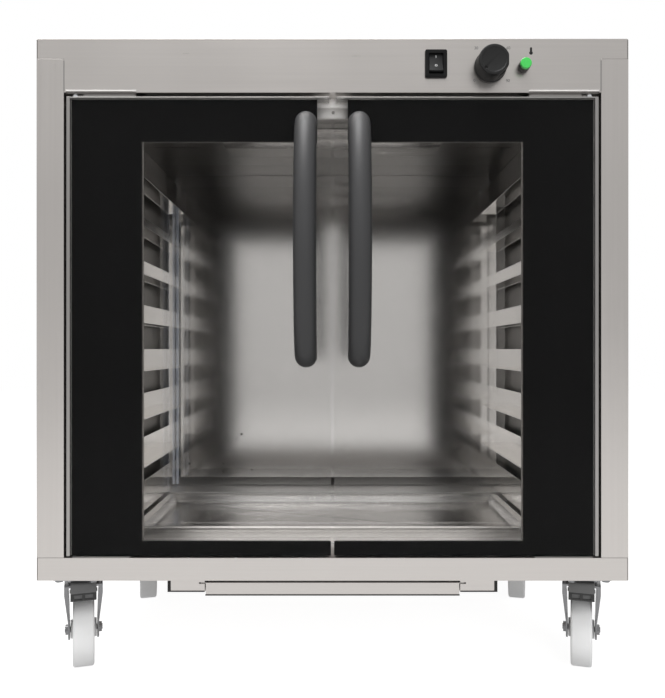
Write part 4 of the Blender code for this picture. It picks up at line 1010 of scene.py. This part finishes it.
casterLook = {"crownRadius": 0.022, "crownThick": 0.003, "crownStep": 0.0004, "crownHalf": 0.0255,
              "crownFront": -0.019, "crownBack": 0.021, "bridgeDrop": 0.0002, "trail": 0.036,
              "legTop": 0.0058, "legThickness": 0.0026, "legOuter": 0.0211, "shoulder": 0.010,
              "neckRise": 0.018, "neckTrail": 0.62, "neckNarrow": 0.80, "footDrop": 0.031, "footTrail": 0.26,
              "footNarrow": 0.78, "footRound": 0.0105, "nutRadius": 0.0075, "nutDepth": 0.005,
              "nutShare": 0.8, "nutRound": 0.0006, "axle": 0.004, "axleShort": 0.001, "forkRound": 0.0005}
wheelLook = {"treadHalf": 0.0145, "treadRound": 0.0035, "rim": 0.009, "rimSlope": 0.0015, "webHalf": 0.0065,
             "hubRadius": 0.013, "hubHalf": 0.0178, "hubSlope": 0.001, "boreGap": 0.0006, "boreInset": 0.0001,
             "boreShare": 0.9, "middle": 0.003, "treadReach": 0.001, "edgeRound": 0.0006}
pedalLook = {"half": 0.0170, "deep": (-0.036, -0.024), "topRound": 0.004, "bandInset": 0.0004,
             "bandDeep": (-0.0363, -0.0340), "bandHeights": (0.0003, 0.0105), "slotAcross": (0.0018, 0.0125),
             "slotDeep": (-0.040, -0.0335), "slotHeights": (0.0025, 0.0085), "armHalf": 0.0085,
             "armDeep": (-0.030, -0.016), "armDrops": (0.020, 0.013), "pinDrop": 0.0165, "pinRadius": 0.0026,
             "pinLength": 0.0364, "edgeRound": 0.0007, "bandRound": 0.0003}
plateLook = {"thick": 0.003, "corner": 0.006, "raceRadius": 0.022, "raceRound": 0.002, "boltRadius": 0.0055,
             "boltDepth": 0.0035, "boltSink": 0.0005, "boltInset": (0.008, 0.009), "edgeRound": 0.0004}
restTurns = {"front": math.radians(18), "rear": math.radians(15)}


def buildLeg(crownTop, crownBottom, axleHeight):
    # a pressed cheek, wide at the crown and round about the axle
    look = casterLook
    outer, trail, shoulder = look["crownHalf"], look["trail"], crownBottom - look["shoulder"]
    neck, lean = axleHeight + look["neckRise"], trail * look["neckTrail"]
    foot = neck - look["footDrop"]
    leg = addBlock("leg", (outer - look["legTop"], look["crownFront"], shoulder),
                   (outer, look["crownBack"], crownTop))
    pushFaces(leg, lambda place, normal: normal.z < -0.9, (look["legOuter"] - outer, lean, neck - shoulder),
              (look["legThickness"] / look["legTop"], look["neckNarrow"], 1), (look["legOuter"], lean, neck))
    pushFaces(leg, lambda place, normal: normal.z < -0.5, (0, trail * look["footTrail"], foot - neck),
              (1, look["footNarrow"], 1), (look["legOuter"], trail, axleHeight))
    bevelEdges(leg, lambda place, along: abs(along.x) > 0.9 and near(place.z, foot, 0.002),
               look["footRound"], 6)
    return leg


def buildFork(crownTop, crownBottom, axleHeight):
    look = casterLook
    crown = addRound("crown", (0, 0, (crownTop + crownBottom) / 2), look["crownRadius"],
                     crownTop - crownBottom, "Z", 48)
    shelf = crownTop - look["crownStep"]
    bridge = addBlock("bridge", (-look["crownHalf"], look["crownFront"], crownBottom - look["bridgeDrop"]),
                      (look["crownHalf"], look["crownBack"], shelf))
    combine(crown, bridge)
    leg = buildLeg(shelf, crownBottom, axleHeight)
    other = copyPiece(leg, "otherLeg", mirror=True)
    combine(crown, leg)
    combine(crown, other)
    endDepth, nutDepth = look["nutDepth"], look["nutDepth"] * look["nutShare"]
    for sign in sides.values():
        nut = addRound("nut", (sign * (look["legOuter"] + nutDepth / 2), look["trail"], axleHeight),
                       look["nutRadius"], nutDepth, "X", 6)
        bevelEdges(nut, runsAlong("x"), look["nutRound"], 2)
        end = addRound("boltEnd", (sign * (look["legOuter"] + endDepth / 2), look["trail"], axleHeight),
                       look["axle"], endDepth, "X", 24)
        combine(nut, end)
        combine(crown, nut)
    axle = addRound("axle", (0, look["trail"], axleHeight), look["axle"],
                    2 * look["legOuter"] - look["axleShort"], "X", 24)
    combine(crown, axle)
    return roundEdges(crown, look["forkRound"], 2, 35)


def buildWheel(radius, axleHeight):
    look = wheelLook
    centre = Vector((0, casterLook["trail"], axleHeight))
    wheel = addRound("wheel", centre, radius, 2 * look["treadHalf"], "X", 72)
    fromCentre = lambda place: (place.yz - centre.yz).length
    web = radius - look["rim"] - look["rimSlope"] - look["hubRadius"] - look["hubSlope"]
    steps = ((look["rim"], 0.0), (look["rimSlope"], look["webHalf"] - look["treadHalf"]), (web, 0.0),
             (look["hubSlope"], look["hubHalf"] - look["webHalf"]),
             (look["hubRadius"] - casterLook["axle"] - look["boreGap"], 0.0),
             (look["boreInset"], -look["hubHalf"] * look["boreShare"]))
    for sign in sides.values():
        cap = lambda place, normal: normal.x * sign > 0.9 and fromCentre(place) < look["middle"]
        for width, depth in steps:
            insetFaces(wheel, cap, width, depth)
    bevelEdges(wheel, lambda place, along: abs(along.x) < 0.1 and near(abs(place.x), look["treadHalf"])
               and fromCentre(place) > radius - look["treadReach"], look["treadRound"], 4)
    return roundEdges(wheel, look["edgeRound"], 2, 35)


def buildPedal():
    # the foot pedal ahead of the fork, with two recesses across its lower edge
    look = pedalLook
    low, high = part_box("front_right_brake_pedal")
    base, top, half = low[2], high[2], look["half"]
    front, back = look["deep"]
    pedal = addBlock("pedal", (-half, front, base), (half, back, top))
    bevelEdges(pedal, lambda place, along: abs(along.x) > 0.9 and near(place.z, top) and near(place.y, front),
               look["topRound"], 4)
    half -= look["bandInset"]
    front, back = look["bandDeep"]
    rise, reach = look["bandHeights"]
    band = addBlock("band", (-half, front, base + rise), (half, back, base + reach))
    front, back = look["slotDeep"]
    rise, reach = look["slotHeights"]
    for sign in sides.values():
        start, end = sorted(sign * across for across in look["slotAcross"])
        for piece in (pedal, band):
            slot = addBlock("slot", (start, front, base + rise), (end, back, base + reach))
            combine(piece, slot, "DIFFERENCE")
    front, back = look["armDeep"]
    arm = addBlock("arm", (-look["armHalf"], front, top - look["armDrops"][0]),
                   (look["armHalf"], back, top - look["armDrops"][1]))
    pin = addRound("pin", (0, back, top - look["pinDrop"]), look["pinRadius"], look["pinLength"], "X", 24)
    combine(pedal, arm)
    combine(pedal, pin)
    return roundEdges(pedal, look["edgeRound"], 2, 35), roundEdges(band, look["bandRound"], 2, 35)


def buildPlate(plateName):
    look = plateLook
    low, high = (Vector(corner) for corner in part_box(plateName))
    middle = (low + high) / 2
    under, inside = high.z - look["thick"], high.z - look["thick"] / 2
    plate = addBlock("plate", (low.x, low.y, under), high)
    bevelEdges(plate, runsAlong("z"), look["corner"], 5)
    race = addRound("race", (middle.x, middle.y, (low.z + inside) / 2), look["raceRadius"], inside - low.z,
                    "Z", 48)
    bevelEdges(race, lambda place, along: near(place.z, low.z), look["raceRound"], 3)
    combine(plate, race)
    insetX, insetY = look["boltInset"]
    for x in (low.x + insetX, high.x - insetX):
        for y in (low.y + insetY, high.y - insetY):
            bolt = addRound("bolt", (x, y, under - look["boltDepth"] / 2 + look["boltSink"]),
                            look["boltRadius"], look["boltDepth"] + 2 * look["boltSink"], "Z", 6)
            combine(plate, bolt)
    roundEdges(plate, look["edgeRound"], 2, 35)
    standFor(plate, plateName)


def buildCasters():
    _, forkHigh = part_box("front_right_caster_fork")
    wheelLow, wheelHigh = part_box("front_right_caster_wheel")
    axleHeight = (wheelLow[2] + wheelHigh[2]) / 2
    crownTop = forkHigh[2]
    fork = buildFork(crownTop, crownTop - casterLook["crownThick"], axleHeight)
    wheel = buildWheel(axleHeight - wheelLow[2], axleHeight)
    pedal, band = buildPedal()
    swivels = {joint["name"]: joint["pos_m"] for joint in record["behaviour"]["joints"]
               if "swivel" in joint["name"]}
    for end, turn in restTurns.items():
        for side, sign in sides.items():
            x, y, _ = swivels[f"{end}_{side}_swivel"]
            heading = -sign * turn + (math.pi if end == "rear" else 0)
            place = Matrix.Translation((x, y, 0)) @ Matrix.Rotation(heading, 4, "Z")
            shapes = {"caster_fork": fork, "caster_wheel": wheel}
            if end == "front":
                shapes["brake_pedal"] = pedal
            for kind, shape in shapes.items():
                node = f"{end}_{side}_{kind}"
                standFor(copyPiece(shape, node + "_pressing", place), node)
            if end == "front":
                piece = copyPiece(band, f"front_{side}_pedal_band", place)
                addTo(piece, f"front_{side}_brake_pedal", materials["pedalBand"])
            buildPlate(f"{end}_{side}_caster_plate")
    for shape in (fork, wheel, pedal, band):
        bpy.data.objects.remove(shape)


buildCasters()
print("casters ready")


# Stage: a pale floor and plain soft light

stageLook = {"floorSize": 14, "floorColour": 0.30, "floorGlow": 0.90, "floorBounce": 0.20,
             "floorMirror": 0.62, "floorInside": 0.28,
             "horizon": 0.70, "zenith": 0.92, "zenithRise": 0.75, "diffuse": 0.32,
             "keyPower": 170, "keyPlace": (-0.5, -1.15, 3.6), "keySize": 2.2,
             "fillPower": 52, "fillPlace": (0.9, -3.2, 1.8), "fillSize": 2.0, "aim": (0, 0, 0.45)}


def raySwitch(tree, names):
    # 1 for the named kinds of ray, and 0 for the rest
    rays = addNode(tree, "ShaderNodeLightPath")
    result = rays.outputs[names[0]]
    for name in names[1:]:
        result = mathNode(tree, "MAXIMUM", result, rays.outputs[name])
    return result


def blendValues(tree, factor, off, on):
    mix = addNode(tree, "ShaderNodeMix", data_type="FLOAT")
    for socket, value in (("Factor", factor), ("A", off), ("B", on)):
        feed(tree, mix.inputs[socket], value)
    return mix.outputs["Result"]


def depthSwitch(tree, throughGlass=False):
    # 1 for what a surface mirrors, or only for what is mirrored behind the glass
    rays = addNode(tree, "ShaderNodeLightPath")
    depth = rays.outputs["Glossy Depth"]
    if throughGlass:
        passed = mathNode(tree, "ADD", rays.outputs["Transmission Depth"], rays.outputs["Transparent Depth"])
        depth = mathNode(tree, "MINIMUM", passed, depth)
    return mathNode(tree, "GREATER_THAN", depth, 0.5)


def buildFloor():
    floor = addPiece("floor", bpy.ops.mesh.primitive_plane_add, size=stageLook["floorSize"],
                     location=(0, 0, 0))
    material, tree, shader = newMaterial("paleFloor")
    grey = stageLook["floorColour"]
    setInput(shader, Base_Color=(grey, grey, grey, 1), Roughness=0.9, Specular_IOR_Level=0.0,
             Emission_Color=(1, 1, 1, 1))
    seen = raySwitch(tree, ("Is Camera Ray", "Is Glossy Ray", "Is Transmission Ray"))
    glow = blendValues(tree, seen, stageLook["floorBounce"], stageLook["floorGlow"])
    glow = blendValues(tree, depthSwitch(tree), glow, stageLook["floorMirror"])
    glow = blendValues(tree, depthSwitch(tree, True), glow, stageLook["floorInside"])
    tree.links.new(glow, shader.inputs["Emission Strength"])
    floor.data.materials.append(material)


def buildWorld():
    world = bpy.data.worlds.new("studio")
    bpy.context.scene.world = world
    world.use_nodes = True
    tree = world.node_tree
    tree.nodes.clear()
    out = addNode(tree, "ShaderNodeOutputWorld")
    place = addNode(tree, "ShaderNodeTexCoord")
    axes = addNode(tree, "ShaderNodeSeparateXYZ")
    tree.links.new(place.outputs["Generated"], axes.inputs[0])
    rise = addNode(tree, "ShaderNodeMapRange")
    tree.links.new(axes.outputs["Z"], rise.inputs["Value"])
    setInput(rise, From_Min=0.0, From_Max=stageLook["zenithRise"], To_Min=stageLook["horizon"],
             To_Max=stageLook["zenith"])
    direct = raySwitch(tree, ("Is Camera Ray", "Is Transmission Ray"))
    plain = blendValues(tree, direct, stageLook["diffuse"], 1.0)
    strength = blendValues(tree, depthSwitch(tree), plain, rise.outputs["Result"])
    light = addNode(tree, "ShaderNodeBackground")
    setInput(light, Color=(1, 1, 1, 1))
    tree.links.new(strength, light.inputs["Strength"])
    tree.links.new(light.outputs[0], out.inputs["Surface"])


def buildLight(name):
    data = bpy.data.lights.new(name + "Light", "AREA")
    data.energy = stageLook[name + "Power"]
    data.size = stageLook[name + "Size"]
    lamp = bpy.data.objects.new(name + "Light", data)
    lamp.visible_transmission = False
    lamp.location = stageLook[name + "Place"]
    lamp.rotation_euler = (Vector(stageLook["aim"]) - lamp.location).to_track_quat("-Z", "Y").to_euler()
    bpy.context.scene.collection.objects.link(lamp)
    return lamp


buildFloor()
buildWorld()
buildLight("key")
buildLight("fill").visible_glossy = False
print("stage ready")
